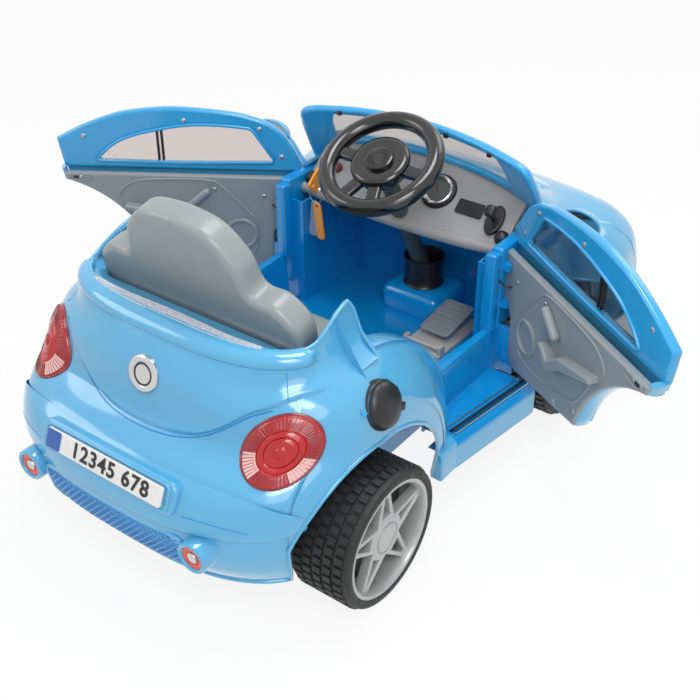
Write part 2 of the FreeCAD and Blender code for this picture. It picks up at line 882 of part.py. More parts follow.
knuckle = minus("knuckle_right", knuckle_blank, [kingpin_bore])
keep("knuckle_right", knuckle)
keep("knuckle_left", mirrored("knuckle_left", knuckle))

tie_bar = box(
    "tie_bar", "-kingpin_x + arm_inset_x", "front_axle_y - arm_reach_y - tie_rod_width / 2", "tie_rod_z",
    "2 * kingpin_x - 2 * arm_inset_x", "tie_rod_width", "tie_rod_height",
)
# Each end of the rod is a fork, open to the rear, in which the arm pin also moves along the car
tie_fork = box(
    "tie_fork", "kingpin_x - arm_inset_x - arm_pin_radius - arm_pin_fit - 5",
    "front_axle_y - arm_reach_y - arm_pin_radius - arm_pin_fit - arm_pin_back", "tie_rod_z",
    "2 * arm_pin_radius + 2 * arm_pin_fit + 8",
    "2 * arm_pin_radius + 2 * arm_pin_fit + arm_pin_back + arm_pin_ahead + 4", "tie_rod_height",
)
fork_slot = box(
    "fork_slot", "kingpin_x - arm_inset_x - arm_pin_radius - arm_pin_fit",
    "front_axle_y - arm_reach_y - arm_pin_radius - arm_pin_fit - arm_pin_back - 20", "tie_rod_z - 5",
    "2 * arm_pin_radius + 2 * arm_pin_fit",
    "2 * arm_pin_radius + 2 * arm_pin_fit + arm_pin_back + arm_pin_ahead + 20", 40,
)
tie_plate = box(
    "tie_plate", -12, "front_axle_y - arm_reach_y", "tie_rod_z",
    24, "arm_reach_y + 58", "tie_rod_height",
)

# Steering column: built along its own axis and leaned back into place

lean_turn = Rotation(Vector(1, 0, 0), dim("column_lean"))


def lean_in(obj):
    """Put an object built about the steering axis in its place."""
    obj.Placement = Placement(Vector(), lean_turn)
    return place(obj, 0, "wheel_centre_y", "wheel_centre_z")


shaft = rod(
    "shaft", "z", "column_radius", "column_length - steer_hub_depth / 2", 0, 0, "-column_length",
)
crank = box(
    "crank", -7, "-crank_length - 6", "-column_length", 14, "crank_length + 12", 8,
)
crank_pin = rod(
    "crank_pin", "z", "crank_pin_radius", 13, 0, "-crank_length", "-column_length - 13",
)
column = lean_in(joined("steering_column", [shaft, crank, crank_pin]))
keep("steering_column", column)

pin_slot = box(
    "pin_slot", "-crank_pin_radius - 0.9", 262, "tie_rod_z - 5",
    "2 * crank_pin_radius + 1.8", 27, 40,
)
tie_blank = joined("tie_blank", [tie_bar, tie_plate, tie_fork, mirrored("tie_fork_left", tie_fork)])
keep("tie_rod", minus("tie_rod", tie_blank, [fork_slot, mirrored("fork_slot_left", fork_slot), pin_slot]))

grip = doc.addObject("Part::Torus", "grip")
bind(grip, Radius1="grip_ring_radius", Radius2="grip_tube_radius")
steer_hub = rod("steer_hub", "z", "steer_hub_radius", "steer_hub_depth", 0, 0, "12 - steer_hub_depth")
spokes = []
for number, direction in enumerate((0, 180, 250, 290)):
    spoke = doc.addObject("Part::Box", f"spoke_{number}")
    turn = Rotation(Vector(0, 0, 1), direction)
    spoke.Placement = Placement(turn.multVec(Vector(0, -11, -9)), turn)
    bind(spoke, Length="grip_ring_radius", Width=22, Height=12)
    spokes.append(spoke)
horn_well = rod("horn_well", "z", "horn_radius + horn_fit", 60, 0, 0, "12 - horn_height - 0.5")
shaft_hole = rod("shaft_hole", "z", "column_radius", "100 + 12 - steer_hub_depth + 5", 0, 0, -100)
keep("steering_wheel", lean_in(minus(
    "steering_wheel", joined("steer_blank", [grip, steer_hub] + spokes), [horn_well, shaft_hole],
)))
horn_disc = rod("horn_disc", "z", "horn_radius", "horn_height", 0, 0, "12 - horn_height + horn_travel")
keep("horn_button", lean_in(group("horn_button", [horn_disc])))


def along_column(name, radius):
    """Round space about the whole steering column."""
    space = rod(name + "_rod", "z", radius, "column_length + 60", 0, 0, "-column_length - 40")
    return lean_in(group(name, [space]))


column_space = along_column("column_space", "column_radius + column_gap")
boot_bore = along_column("boot_bore", "column_radius + 1.5")
boot_cup = doc.addObject("Part::Cone", "boot_cup")
bind(boot_cup, Radius1="boot_radius", Radius2="boot_rim_radius", Height="boot_height")
place(boot_cup, 0, "boot_y", "floor_z + floor_thick")
keep("steering_boot", minus("steering_boot", boot_cup, [boot_bore]))

# Dashboard and what sits on its sloping face

dash_y = dim("dash_low_y")
dash_z = dim("dash_low_z")
slope = math.radians(dim("dash_slope"))
face_top_y = dash_y + dim("dash_face") * math.cos(slope)
face_top_z = dash_z + dim("dash_face") * math.sin(slope)
lip = dim("dash_lip")
dash_half = dim("dash_half")
DASH_SECTION = [
    (dash_y + 8, dash_z - lip), (dash_y, dash_z), (face_top_y, face_top_z), (face_top_y + 6, face_top_z),
    (face_top_y + 6, face_top_z - skin), (face_top_y + 2, face_top_z - skin - 1),
    (dash_y + 6, dash_z + 0.5), (dash_y + 12, dash_z - lip),
]
DASH_END = [
    (dash_y + 8, dash_z - lip), (dash_y, dash_z), (face_top_y, face_top_z), (face_top_y + 6, face_top_z),
    (face_top_y + 6, dash_z - lip),
]
dash_skin = feature("dash_skin", side_prism(DASH_SECTION, -dash_half, dash_half))
dash_rib = feature("dash_rib", side_prism(DASH_END, foot_half - skin, foot_half))
dash_cap = feature("dash_cap", side_prism(DASH_END, dash_half - skin, dash_half))
dash_blank = joined("dash_blank", [
    dash_skin, dash_rib, dash_cap, mirrored("dash_rib_left", dash_rib), mirrored("dash_cap_left", dash_cap),
])
slope_turn = Rotation(Vector(1, 0, 0), dim("dash_slope"))


def on_dash(obj, x, along):
    """Stand an object built about the local Z axis on the sloping face."""
    obj.Placement = Placement(Vector(), slope_turn)
    return place(
        obj, x, f"dash_low_y + ({along}) * {round(math.cos(slope), 6)}",
        f"dash_low_z + ({along}) * {round(math.sin(slope), 6)}",
    )


keep("gauge", on_dash(
    rod("gauge", "z", "gauge_radius", "gauge_height", 0, 0, 0), "gauge_x", "gauge_along",
))
badge = doc.addObject("Part::Box", "dash_badge")
bind(badge, Length="badge_length", Width="badge_width", Height="badge_thick")
keep("dash_badge", on_dash(badge, "badge_x - badge_length / 2", "badge_along - badge_width / 2"))


def oval(name, half_x, half_y, height):
    """Upright oval block about the local origin."""
    curve = Part.Ellipse(Vector(), max(half_x, half_y), min(half_x, half_y))
    wire = Part.Wire(curve.toShape())
    solid = Part.Face(wire).extrude(Vector(0, 0, height))
    if half_y > half_x:
        solid.rotate(Vector(), Vector(0, 0, 1), 90)
    return feature(name, solid)


shift_oval = oval("shift_oval", dim("shifter_half_width"), dim("shifter_half_length"), dim("shifter_height"))
lever_slot = box(
    "lever_slot", "-lever_radius - lever_gap", "-shifter_half_length + 6", 2,
    "2 * lever_radius + 2 * lever_gap", "2 * shifter_half_length - 12", 40,
)
keep("shifter_base", on_dash(
    minus("shifter_base", shift_oval, [lever_slot]), "shifter_x", "shifter_along",
))
lever_stem = rod("lever_stem", "z", "lever_radius", "lever_length", 0, 0, "lever_radius")
lever_foot = doc.addObject("Part::Sphere", "lever_foot")
bind(lever_foot, Radius="lever_radius")
place(lever_foot, 0, 0, "2 + lever_radius + 0.3")
lever_knob = box("lever_knob", -16, -8, "lever_length + lever_radius - 1", 22, 16, 10)
keep("gear_lever", on_dash(
    joined("gear_lever", [lever_stem, lever_foot, lever_knob]), "shifter_x", "shifter_along",
))

lock_barrel = rod("lock_barrel", "z", "lock_radius", "lock_height", 0, 0, 0)
lock_bore = rod("lock_bore", "z", "key_shaft_radius + key_shaft_fit", 60, 0, 0, 1)
keep("ignition_lock", on_dash(
    minus("ignition_lock", lock_barrel, [lock_bore]), "lock_x", "lock_along",
))
key_shaft = rod("key_shaft", "z", "key_shaft_radius", "lock_height + 6", 0, 0, 1.5)
key_bow = box(
    "key_bow", "-key_thick / 2", "-key_head / 2", "lock_height + 3",
    "key_thick", "key_head", "key_head * 0.8",
)
ring_hole = rod(
    "ring_hole", "x", "key_hole_radius", 40, -20, "-key_head / 2 + key_hole_inset",
    "lock_height + 3 + key_hole_inset",
)
key_blank = joined("key_blank", [key_shaft, key_bow])
key = on_dash(minus("ignition_key", key_blank, [ring_hole]), "lock_x", "lock_along")
keep("ignition_key", key)

# Key ring with its tags hangs from the hole in the key
hole_out = dim("lock_height") + 3 + dim("key_hole_inset")
hole_along = dim("lock_along") - dim("key_head") / 2 + dim("key_hole_inset")
ring_top = Vector(
    dim("lock_x"),
    dash_y + hole_along * math.cos(slope) - hole_out * math.sin(slope),
    dash_z + hole_along * math.sin(slope) + hole_out * math.cos(slope),
)
ring = doc.addObject("Part::Torus", "ring")
ring.Placement = Placement(Vector(), Rotation(Vector(1, 0, 0), 90))
bind(ring, Radius1="key_ring_radius", Radius2="key_wire_radius")
tags = []
for number in range(2):
    tag = box(
        f"tag_{number}", "-tag_width / 2", f"-tag_thick + {number} * tag_thick",
        f"-key_ring_radius - tag_length + {number} * 4", "tag_width", "tag_thick", "tag_length",
    )
    tags.append(tag)
key_tags = joined("key_tags", [ring] + tags)
key_tags.Placement = Placement(ring_top - Vector(0, 0, dim("key_ring_radius")), Rotation())
keep("key_tags", key_tags)

# Foot pedal on its base

base_plate = box(
    "base_plate", "pedal_x - pedal_width / 2 - 8", "pedal_back_y - 12", "floor_z + floor_thick",
    "pedal_width + 16", "pedal_length + 20", 6,
)


def pedal_ear(name, x):
    return box(
        name, x, "pedal_back_y - 7", "floor_z + floor_thick",
        6, 14, "pedal_hinge_z - floor_z - floor_thick + 7",
    )


pedal_pin = rod(
    "pedal_pin", "x", "pedal_pin_radius", "pedal_width + 16", "pedal_x - pedal_width / 2 - 8",
    "pedal_back_y", "pedal_hinge_z",
)
keep("pedal_base", joined("pedal_base", [
    base_plate,
    pedal_ear("ear_right", "pedal_x + pedal_width / 2 + 2"),
    pedal_ear("ear_left", "pedal_x - pedal_width / 2 - 8"),
    pedal_pin,
]))
pedal_plate = box(
    "pedal_plate", "-pedal_width / 2", 0, "-pedal_thick / 2", "pedal_width", "pedal_length", "pedal_thick",
)
pedal_barrel = rod("pedal_barrel", "x", "pedal_pin_radius + 3", "pedal_width", "-pedal_width / 2", 0, 0)
pedal_bore = rod(
    "pedal_bore", "x", "pedal_pin_radius + running_clearance", "pedal_width + 10",
    "-pedal_width / 2 - 5", 0, 0,
)
pedal = minus("pedal", joined("pedal_blank", [pedal_plate, pedal_barrel]), [pedal_bore])
pedal.Placement = Placement(Vector(), Rotation(Vector(1, 0, 0), dim("pedal_tilt")))
place(pedal, "pedal_x", "pedal_back_y", "pedal_hinge_z")
keep("pedal", pedal)

# Windshield hoop and pane: front-view outlines cut from a raked sheet that is curved in plan

SHIELD_EDGE = [(1.0, 0.0), (0.98, 0.37), (0.957, 0.69), (0.91, 0.86), (0.68, 0.93), (0.445, 0.97), (0.0, 1.0)]
LOW_SHARES = (1.0, 0.93, 0.8, 0.5, 0.0)
shield_half = dim("shield_half")
shield_low_z = dim("shield_low_z")
shield_top_z = dim("shield_top_z")
rail = dim("shield_rail")


def shield_sheet(thick):
    """Raked sheet through the whole windshield, bowed forward in the middle."""
    reach = shield_half + 20
    low_z = shield_low_z - 20
    high_z = shield_top_z + 20
    low_y = dim("shield_top_y") + (shield_top_z - low_z) * dim("shield_rake")
    bow = dim("shield_bow")

    def edge(offset):
        ends = [Vector(x, low_y - bow + offset, low_z) for x in (-reach, reach)]
        return Part.Arc(ends[0], Vector(0, low_y + offset, low_z), ends[1]).toShape()

    back = edge(-thick / 2)
    front = edge(thick / 2)
    sides = [Part.makeLine(back.Vertexes[k].Point, front.Vertexes[k].Point) for k in (0, 1)]
    face = Part.Face(Part.Wire(Part.__sortEdges__([back, front] + sides)))
    rise = high_z - low_z
    return face.extrude(Vector(0, -rise * dim("shield_rake"), rise))


def shield_block(inset, low_heights):
    """Front-view outline pushed along the car: an arch above and a lower edge that rises to the cowl."""
    reach = shield_half - inset
    low_side = shield_low_z + low_heights[0]
    arch_rise = shield_top_z - inset - low_side
    half = [(share_x * reach, low_side + share_up * arch_rise) for share_x, share_up in SHIELD_EDGE]
    arch = half + [(-x, z) for x, z in reversed(half[:-1])]
    low_half = [(share * reach, shield_low_z + up) for share, up in zip(LOW_SHARES, low_heights)]
    lower = [(-x, z) for x, z in low_half] + list(reversed(low_half[:-1]))
    low_y = 60
    edges = [open_curve([Vector(x, low_y, z) for x, z in arch])]
    edges += Part.makePolygon([Vector(x, low_y, z) for x, z in lower]).Edges
    return Part.Face(Part.Wire(edges)).extrude(Vector(0, 300, 0))


thick_sheet = feature("thick_sheet", shield_sheet(dim("shield_thick")))
thin_sheet = feature("thin_sheet", shield_sheet(dim("shield_pane_thick")))
outer_block = feature("outer_block", shield_block(0, (0, 36, 50, 58, 61)))
pane_block = feature("pane_block", shield_block(rail - 6, (41, 51, 57, 64, 67)))
inner_block = feature("inner_block", shield_block(rail, (50, 58, 63, 69, 72)))
hoop_outer = overlap("hoop_outer", thick_sheet, outer_block)
shield_pane = keep("windshield_pane", overlap("windshield_pane", thin_sheet, pane_block))
hoop_ring = minus("hoop_ring", hoop_outer, [inner_block])
keep("windshield_frame", minus("windshield_frame", hoop_ring, [shield_pane]))
keep("dashboard", minus("dashboard", dash_blank, [column_space, hoop_outer]))

# Door mirrors on short stalks

MIRROR_STATIONS = (-0.55, -0.33, 0.0, 0.35, 0.65, 0.85, 0.96)
mirror_back = dim("mirror_half_depth")


def mirror_section(share):
    """Oval section of the housing at a share of its half depth."""
    grow = math.sqrt(1 - share * share)
    centre = Vector(dim("mirror_x"), dim("mirror_y") + share * mirror_back, dim("mirror_z"))
    major = dim("mirror_half_width") * grow
    minor = dim("mirror_half_height") * grow
    curve = Part.Ellipse(
        centre + Vector(major, 0, 0), centre + Vector(0, 0, minor), centre,
    )
    return Part.Wire(curve.toShape())


mirror_shell = feature("mirror_shell", Part.makeLoft(
    [mirror_section(share) for share in MIRROR_STATIONS], True, True,
))
mirror_cut = box(
    "mirror_face_space", "mirror_x - 60", "mirror_y - 60", "mirror_z - 60", 120, "60 - mirror_cut", 120,
)
stalk_foot = Vector(dim("mirror_x") - 60, dim("mirror_y") + 12, dim("mirror_z") - 66)
stalk_head = Vector(dim("mirror_x") - 16, dim("mirror_y") + 6, dim("mirror_z") - 4)
stalk = feature("stalk", Part.makeCylinder(
    dim("stalk_radius"), (stalk_head - stalk_foot).Length, stalk_foot, stalk_head - stalk_foot,
))
mirror_blank = joined("mirror_blank", [mirror_shell, stalk])
mirror_housing = minus("mirror_housing", mirror_blank, [mirror_cut])
glass_slab = box(
    "glass_slab", "mirror_x - 60", "mirror_y - mirror_cut - mirror_glass_thick", "mirror_z - 60",
    120, "mirror_glass_thick", 120,
)
mirror_glass = overlap("mirror_glass", mirror_shell, glass_slab)
keep("mirror_housings", pair("mirror_housings", mirror_housing))
keep("mirror_glasses", pair("mirror_glasses", mirror_glass))

# Lamps, exhausts, emblem, plate and fuel filler, let into the body skins


def facing(centre, outward, spin=0):
    """Placement whose local Z points outward at a centre."""
    return Placement(centre, Rotation(Vector(0, 0, 1), outward).multiply(Rotation(Vector(0, 0, 1), spin)))


def oval_plug(name, long_half, short_half, below, above, placement):
    wire = Part.Wire(Part.Ellipse(Vector(0, 0, -below), long_half, short_half).toShape())
    obj = feature(name, Part.Face(wire).extrude(Vector(0, 0, below + above)))
    obj.Placement = placement
    return obj


tail_lamp = oval_plug(
    "tail_lamp", dim("tail_lamp_long"), dim("tail_lamp_short"), 40, 60,
    facing(Vector(214, -424, 281), Vector(0.5, -0.78, 0.38), 60),
)
keep("tail_lamps", pair("tail_lamps", overlap("tail_lens", rear_skin, tail_lamp)))
head_lamp = oval_plug(
    "head_lamp", dim("head_lamp_radius"), dim("head_lamp_radius") - 2, 60, 40,
    facing(Vector(196, 468, 268), Vector(0.43, 0.67, 0.60)),
)
keep("headlamps", pair("headlamps", overlap("head_lens", front_skin, head_lamp)))

exhaust_tube = rod(
    "exhaust_tube", "y", "exhaust_radius", "exhaust_length", "exhaust_x", "exhaust_back_y", "exhaust_z",
)
exhaust_hole = rod(
    "exhaust_hole", "y", "exhaust_bore", "exhaust_length - 10", "exhaust_x", "exhaust_back_y", "exhaust_z",
)
exhaust_tip = minus("exhaust_tip", exhaust_tube, [exhaust_hole])
exhaust_insert = rod(
    "exhaust_insert", "y", "exhaust_bore", "exhaust_length - 22",
    "exhaust_x", "exhaust_back_y + 12", "exhaust_z",
)
keep("exhaust_tips", pair("exhaust_tips", exhaust_tip))
keep("exhaust_inserts", pair("exhaust_inserts", exhaust_insert))
exhaust_space = rod(
    "exhaust_space", "y", "exhaust_radius", "exhaust_length", "exhaust_x", "exhaust_back_y", "exhaust_z",
)

emblem_blank = Part.makeCylinder(dim("emblem_radius"), dim("emblem_depth"), Vector(0, 0, -8))
emblem = feature("emblem_disc", emblem_blank)
emblem.Placement = facing(Vector(0, -449, 327), Vector(0, -0.97, 0.26))
keep("emblem_disc", emblem)

plate = feature("number_plate", Part.makeBox(
    2 * dim("plate_half"), dim("plate_height"), dim("plate_thick"),
    Vector(-dim("plate_half"), -dim("plate_height") / 2, -dim("plate_thick") + 2),
))
plate.Placement = Placement(Vector(0, -535, 224), Rotation(Vector(1, 0, 0), 68))
keep("number_plate", plate)

filler_top = dim("fuel_rise")
filler = feature("fuel_filler", Part.makeCylinder(
    dim("fuel_radius"), dim("fuel_depth"), Vector(0, 0, filler_top - dim("fuel_depth")),
))
FUEL_FACE = Vector(0.94, 0, 0.34)
fuel_centre = Vector(274, dim("fuel_y"), dim("fuel_z"))
filler.Placement = facing(fuel_centre, FUEL_FACE)
keep("fuel_filler", filler)
fuel_turn = filler.Placement.Rotation
cap_low = filler_top + dim("fuel_cap_gap")
cap_disc = Part.makeCylinder(dim("fuel_radius") - 1, dim("fuel_cap_height"), Vector(0, 0, cap_low))
cap_arm = Part.makeBox(
    12, dim("fuel_arm_reach"), 5, Vector(-6, -dim("fuel_arm_reach"), cap_low),
)
cap = feature("fuel_cap", cap_disc.fuse(cap_arm).removeSplitter())
cap.Placement = Placement(fuel_centre, fuel_turn.multiply(Rotation(Vector(0, 0, 1), 150)))
keep("fuel_cap", cap)

# Doors: modelled shut in coordinates along the door (u), outward (w) and up (z)

frame_x = dim("door_frame_x")
zero_y = dim("door_zero_y")
panel_in = -dim("door_panel_depth")
panel_out = panel_in + dim("door_panel_thick")
frame_out = dim("door_frame_thick")
belt_z = dim("door_belt_z")
arc_u = zero_y - axle_y
arc_radius = dim("rear_shut_radius") + dim("door_arc_gap")


def shut(u, w, z):
    """Point on the shut right-hand door."""
    return Vector(frame_x + w, zero_y - u, z)


def arc_at_u(u):
    """Height of the round rear lower edge at a place along the door."""
    return axle_z + math.sqrt(arc_radius ** 2 - (arc_u - u) ** 2)


def arc_at_z(z):
    return arc_u - math.sqrt(arc_radius ** 2 - (z - axle_z) ** 2)


def door_slab(edges, start, end):
    """Plate from edges drawn at w = 0, pushed from one depth to another."""
    wire = Part.Wire(Part.__sortEdges__(edges))
    moved = wire.transformGeometry(Placement(Vector(start, 0, 0), Rotation()).toMatrix())
    return Part.Face(Part.Wire(moved.Edges)).extrude(Vector(end - start, 0, 0))


def lines(points):
    corners = [shut(u, 0, z) for u, z in points]
    return [Part.makeLine(a, b) for a, b in zip(corners, corners[1:])]


def curve(points):
    return open_curve([shut(u, 0, z) for u, z in points])


def rear_arc(high, low):
    middle_z = (high[1] + low[1]) / 2
    return Part.Arc(
        shut(high[0], 0, high[1]), shut(arc_at_z(middle_z), 0, middle_z), shut(low[0], 0, low[1]),
    ).toShape()


tip = (425, arc_at_u(425))
low_corner = (arc_at_z(162), 162)
panel_edges = lines([low_corner, (36, 134), (36, 236), (4, 242), (4, belt_z), (425, belt_z + 3), tip])
panel_edges.append(rear_arc(tip, low_corner))
panel_blank = door_slab(panel_edges, panel_in, panel_out)
armrest = prism(
    [shut(u, panel_in, z) for u, z in (
        (150, 236), (162, 286), (176, 286), (178, 250), (226, 256), (224, 244), (170, 232),
    )],
    Vector(-14, 0, 0),
)
speaker = Part.makeCylinder(30, 4, shut(96, panel_in - 4, 222), Vector(1, 0, 0)).cut(
    Part.makeCylinder(24, 4, shut(96, panel_in - 4, 222), Vector(1, 0, 0)))

hinge = Vector(dim("hinge_x"), dim("hinge_y"), 0)
low_z = dim("hinge_low_z")
high_z = dim("hinge_high_z")
lug = dim("hinge_lug_height")
hinge_gap = dim("hinge_gap")
barrel_low = low_z + lug + hinge_gap
barrel_tall = high_z - low_z - 2 * lug - 2 * hinge_gap
door_barrel = Part.makeCylinder(dim("hinge_barrel_radius"), barrel_tall, hinge + Vector(0, 0, barrel_low))
door_bore = Part.makeCylinder(dim("hinge_pin_radius") + dim("running_clearance"), 400, hinge)


def lug_notch(z):
    """Room for one hinge ear as the door turns."""
    corner = shut(62, -40, z - hinge_gap)
    return Part.makeBox(45, 70, lug + 2 * hinge_gap, corner)


notches = [lug_notch(low_z), lug_notch(high_z - lug)]
panel_solid = panel_blank.fuse([armrest, speaker]).cut(Part.Compound(notches))
panel_solid = panel_solid.fuse(door_barrel).cut(door_bore).removeSplitter()

top_curve = [(52, 430), (163, 441), (240, 450), (300, 450), (358, 438), (412, 418), (437, 396)]
outer_edges = lines([top_curve[-1], (426, 345), tip])
outer_edges.append(rear_arc(tip, low_corner))
outer_edges += lines([low_corner, (66, 137)])
outer_edges.append(curve([(66, 137), (62, 190), (40, 230), (-8, 246)]))
outer_edges += lines([(-8, 246), (-8, belt_z), top_curve[0]])
outer_edges.append(curve(top_curve))
outer_blank = door_slab(outer_edges, panel_out, frame_out)
thin_front = prism(
    [shut(u, w, 100) for u, w in ((-20, -4), (70, -4), (150, 12), (450, 12), (450, 40), (-20, 40))],
    Vector(0, 0, belt_z - 106),
)
over_belt = Part.makeBox(60, 500, 200, shut(450, -60, belt_z))
pocket = door_slab(lines([
    (76, 150), (246, 172), (262, 215), (296, 258), (346, 298), (404, 326),
    (20, 326), (20, 254), (58, 246), (76, 200), (76, 150),
]), panel_out, panel_out + dim("door_wall"))


def offset(points, distance):
    """Closed outline moved outward."""
    count = len(points)
    moved = []
    for i, (u, z) in enumerate(points):
        before = points[i - 1]
        after = points[(i + 1) % count]
        along = Vector(after[0] - before[0], after[1] - before[1], 0)
        along.normalize()
        moved.append((u - along.y * distance, z + along.x * distance))
    return moved


WINDOW = [
    (44, 356), (62, 384), (88, 410), (160, 421), (240, 420),
    (316, 402), (352, 378), (368, 357), (206, 352),
]
lap = dim("pane_lap")
fit = dim("pane_fit")
pane_thick = dim("pane_thick")


def window_slab(grow, start, end):
    wire = closed_curve([shut(u, start, z) for u, z in offset(WINDOW, grow)])
    return Part.Face(wire).extrude(Vector(end - start, 0, 0))


pane_in = frame_out / 2
opening = window_slab(0, -1, frame_out + 1)
rebate = window_slab(lap, pane_in, frame_out + 1)
barrel_space = Part.makeCylinder(dim("hinge_barrel_radius"), 400, hinge)
outer_solid = outer_blank.cut([thin_front, over_belt, pocket, opening, rebate, barrel_space] + notches)
window_solid = window_slab(lap - fit, pane_in, pane_in + pane_thick)


def screw_at(u, w, z, inward):
    return Part.makeCylinder(
        dim("screw_radius"), dim("screw_height"), shut(u, w, z), Vector(-1 if inward else 1, 0, 0),
    )


SCREWS_ON_PANEL = [(60, 300), (150, 312), (262, 190), (205, 168), (392, 332)]
SCREWS_ON_FRAME = [(28, 368), (66, 420), (200, 434), (384, 402)]
screw_solids = [screw_at(u, panel_in, z, True) for u, z in SCREWS_ON_PANEL]
screw_solids += [screw_at(u, 0, z, True) for u, z in SCREWS_ON_FRAME]

swing = Placement(Vector(), Rotation(Vector(0, 0, 1), dim("door_open_angle")), hinge)
for label, shape in (
    ("door_panel", panel_solid),
    ("door_outer", outer_solid),
    ("door_window", window_solid),
    ("door_screws", Part.Compound(screw_solids)),
):
    right = feature(label + "_right", shape)
    right.Placement = swing
    keep(label + "_right", right)
    keep(label + "_left", mirrored(label + "_left", right))

keep("door_hinge_pins", pair("door_hinge_pins", hinge_pin))

# Door check cord from the post to the inner panel, hanging a little slack
cord_gap = dim("cord_radius") + 0.4
cord_door = swing.multVec(shut(46, panel_in - cord_gap, 284))
cord_post = Vector(dim("post_x") + dim("post_width") + cord_gap, dim("post_y") + 12, 292)
cord_low = (cord_door + cord_post) * 0.5 + Vector(0, 0, -5)
cord_path = open_curve([cord_post, cord_low, cord_door])
cord_aim = cord_path.tangentAt(cord_path.FirstParameter)
cord_start = Part.Wire(Part.makeCircle(dim("cord_radius"), cord_post, cord_aim))
cord_right = feature("check_cord_right", Part.Wire(cord_path).makePipeShell([cord_start], True, False))
keep("check_cord_right", cord_right)
keep("check_cord_left", mirrored("check_cord_left", cord_right))

# Trim strips on the door ledges

ledge_z = dim("sill_ledge_z")
trim_x = dim("sill_outer_x") - 14 - dim("trim_width")


def trim_section(y, shift):
    left = trim_x + shift
    right = left + dim("trim_width")
    top = ledge_z + dim("trim_height")
    corners = ((left, ledge_z), (right, ledge_z), (right, top), (left, top))
    return polygon([Vector(x, y, z) for x, z in corners])


trim_shift = ROCKER_FLARE * flare
trim = feature("trim", Part.makeLoft([
    trim_section(dim("sill_back_y") + 12, 0.06 * trim_shift),
    trim_section(dim("sill_front_y") - 2, 0.99 * trim_shift),
], True, True))
keep("sill_trim", pair("sill_trim", trim))

# Body skins, cut out for everything let into them

rear_shell = keep("rear_body_shell", minus(
    "rear_body_shell",
    rear_trimmed,
    [
        rear_arch, rear_arch_front, door_space, door_space_left,
        tail_lamp, mirrored("tail_lamp_space_left", tail_lamp),
        exhaust_space, mirrored("exhaust_space_left", exhaust_space),
        emblem, plate, filler,
    ],
))
rear_glass_slab = box(
    "rear_glass_slab", "-cabin_half + 24", -600, "deck_z + skin",
    "2 * cabin_half - 48", "deck_front_y + 594", "skin",
)
keep("rear_window_insert", overlap("rear_window_insert", rear_inner, rear_glass_slab))

grille_box = box("grille_box", -105, 480, 104, 210, 100, 52)
keep("front_grille", overlap("front_grille", front_skin, grille_box))
keep("front_body_shell", minus(
    "front_body_shell",
    front_skin,
    [
        front_arch, front_back_space, dash_space, front_base_space, hinge_space, hinge_space_left,
        head_lamp, mirrored("head_lamp_space_left", head_lamp),
        grille_box, hoop_outer, mirror_blank, mirrored("mirror_blank_left", mirror_blank),
    ],
))

fin_foot_space = box("fin_foot_space", 222, "fin_front_y - 42", 344, 20, 46, 20)
keep("chassis_tub", minus(
    "chassis_tub", tub_raw,
    [rear_shell, axle_space, column_space, fin_foot_space, mirrored("fin_foot_space_left", fin_foot_space)],
))

# Check every object, then write one file for each piece

doc.recompute()
for obj in doc.Objects:
    if "Invalid" in obj.State or "Error" in obj.State:
        raise RuntimeError(f"{obj.Name} did not build: {obj.State}")

os.makedirs("parts", exist_ok=True)
for label, obj in nodes.items():
    shape = obj.Shape
    if shape.isNull() or not shape.isValid():
        raise RuntimeError(f"{label} has no valid shape")
    obj.Label = label
    shape.exportStep(f"parts/{label}.step")
    print(label, len(shape.Solids), round(shape.Volume))
print("pieces", len(nodes))
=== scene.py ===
import contextlib
import math

import bmesh
import bpy
import numpy as np
from mathutils import Matrix, Vector


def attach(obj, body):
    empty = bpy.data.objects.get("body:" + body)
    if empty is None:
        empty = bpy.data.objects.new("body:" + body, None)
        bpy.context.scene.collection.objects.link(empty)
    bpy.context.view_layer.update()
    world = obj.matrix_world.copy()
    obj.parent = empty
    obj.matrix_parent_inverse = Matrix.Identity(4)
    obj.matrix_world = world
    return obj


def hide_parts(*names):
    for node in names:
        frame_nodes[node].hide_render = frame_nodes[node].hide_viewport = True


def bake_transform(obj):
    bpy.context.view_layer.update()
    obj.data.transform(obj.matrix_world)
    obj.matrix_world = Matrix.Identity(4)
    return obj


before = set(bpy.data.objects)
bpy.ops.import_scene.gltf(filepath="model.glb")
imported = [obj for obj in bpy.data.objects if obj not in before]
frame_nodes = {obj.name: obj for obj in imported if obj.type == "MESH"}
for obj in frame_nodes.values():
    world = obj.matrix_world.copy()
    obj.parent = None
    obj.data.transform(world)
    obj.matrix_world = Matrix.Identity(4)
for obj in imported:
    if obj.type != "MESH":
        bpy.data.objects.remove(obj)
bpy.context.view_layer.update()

# Child's electric ride-on car in millimetres in the row frame; lights and camera are placed in metres
MM = 0.001
SIDES = ((1, "right"), (-1, "left"))
scene = bpy.context.scene


# Procedural finishes

def fill(node, values):
    """Set named inputs of a node."""
    for name, value in values.items():
        node.inputs[name].default_value = value


def noise(tree, coords, scale, detail):
    """Output of a noise texture in object space."""
    made = tree.nodes.new("ShaderNodeTexNoise")
    fill(made, {"Scale": scale, "Detail": detail})
    tree.links.new(coords.outputs["Object"], made.inputs["Vector"])
    return made.outputs["Fac"]


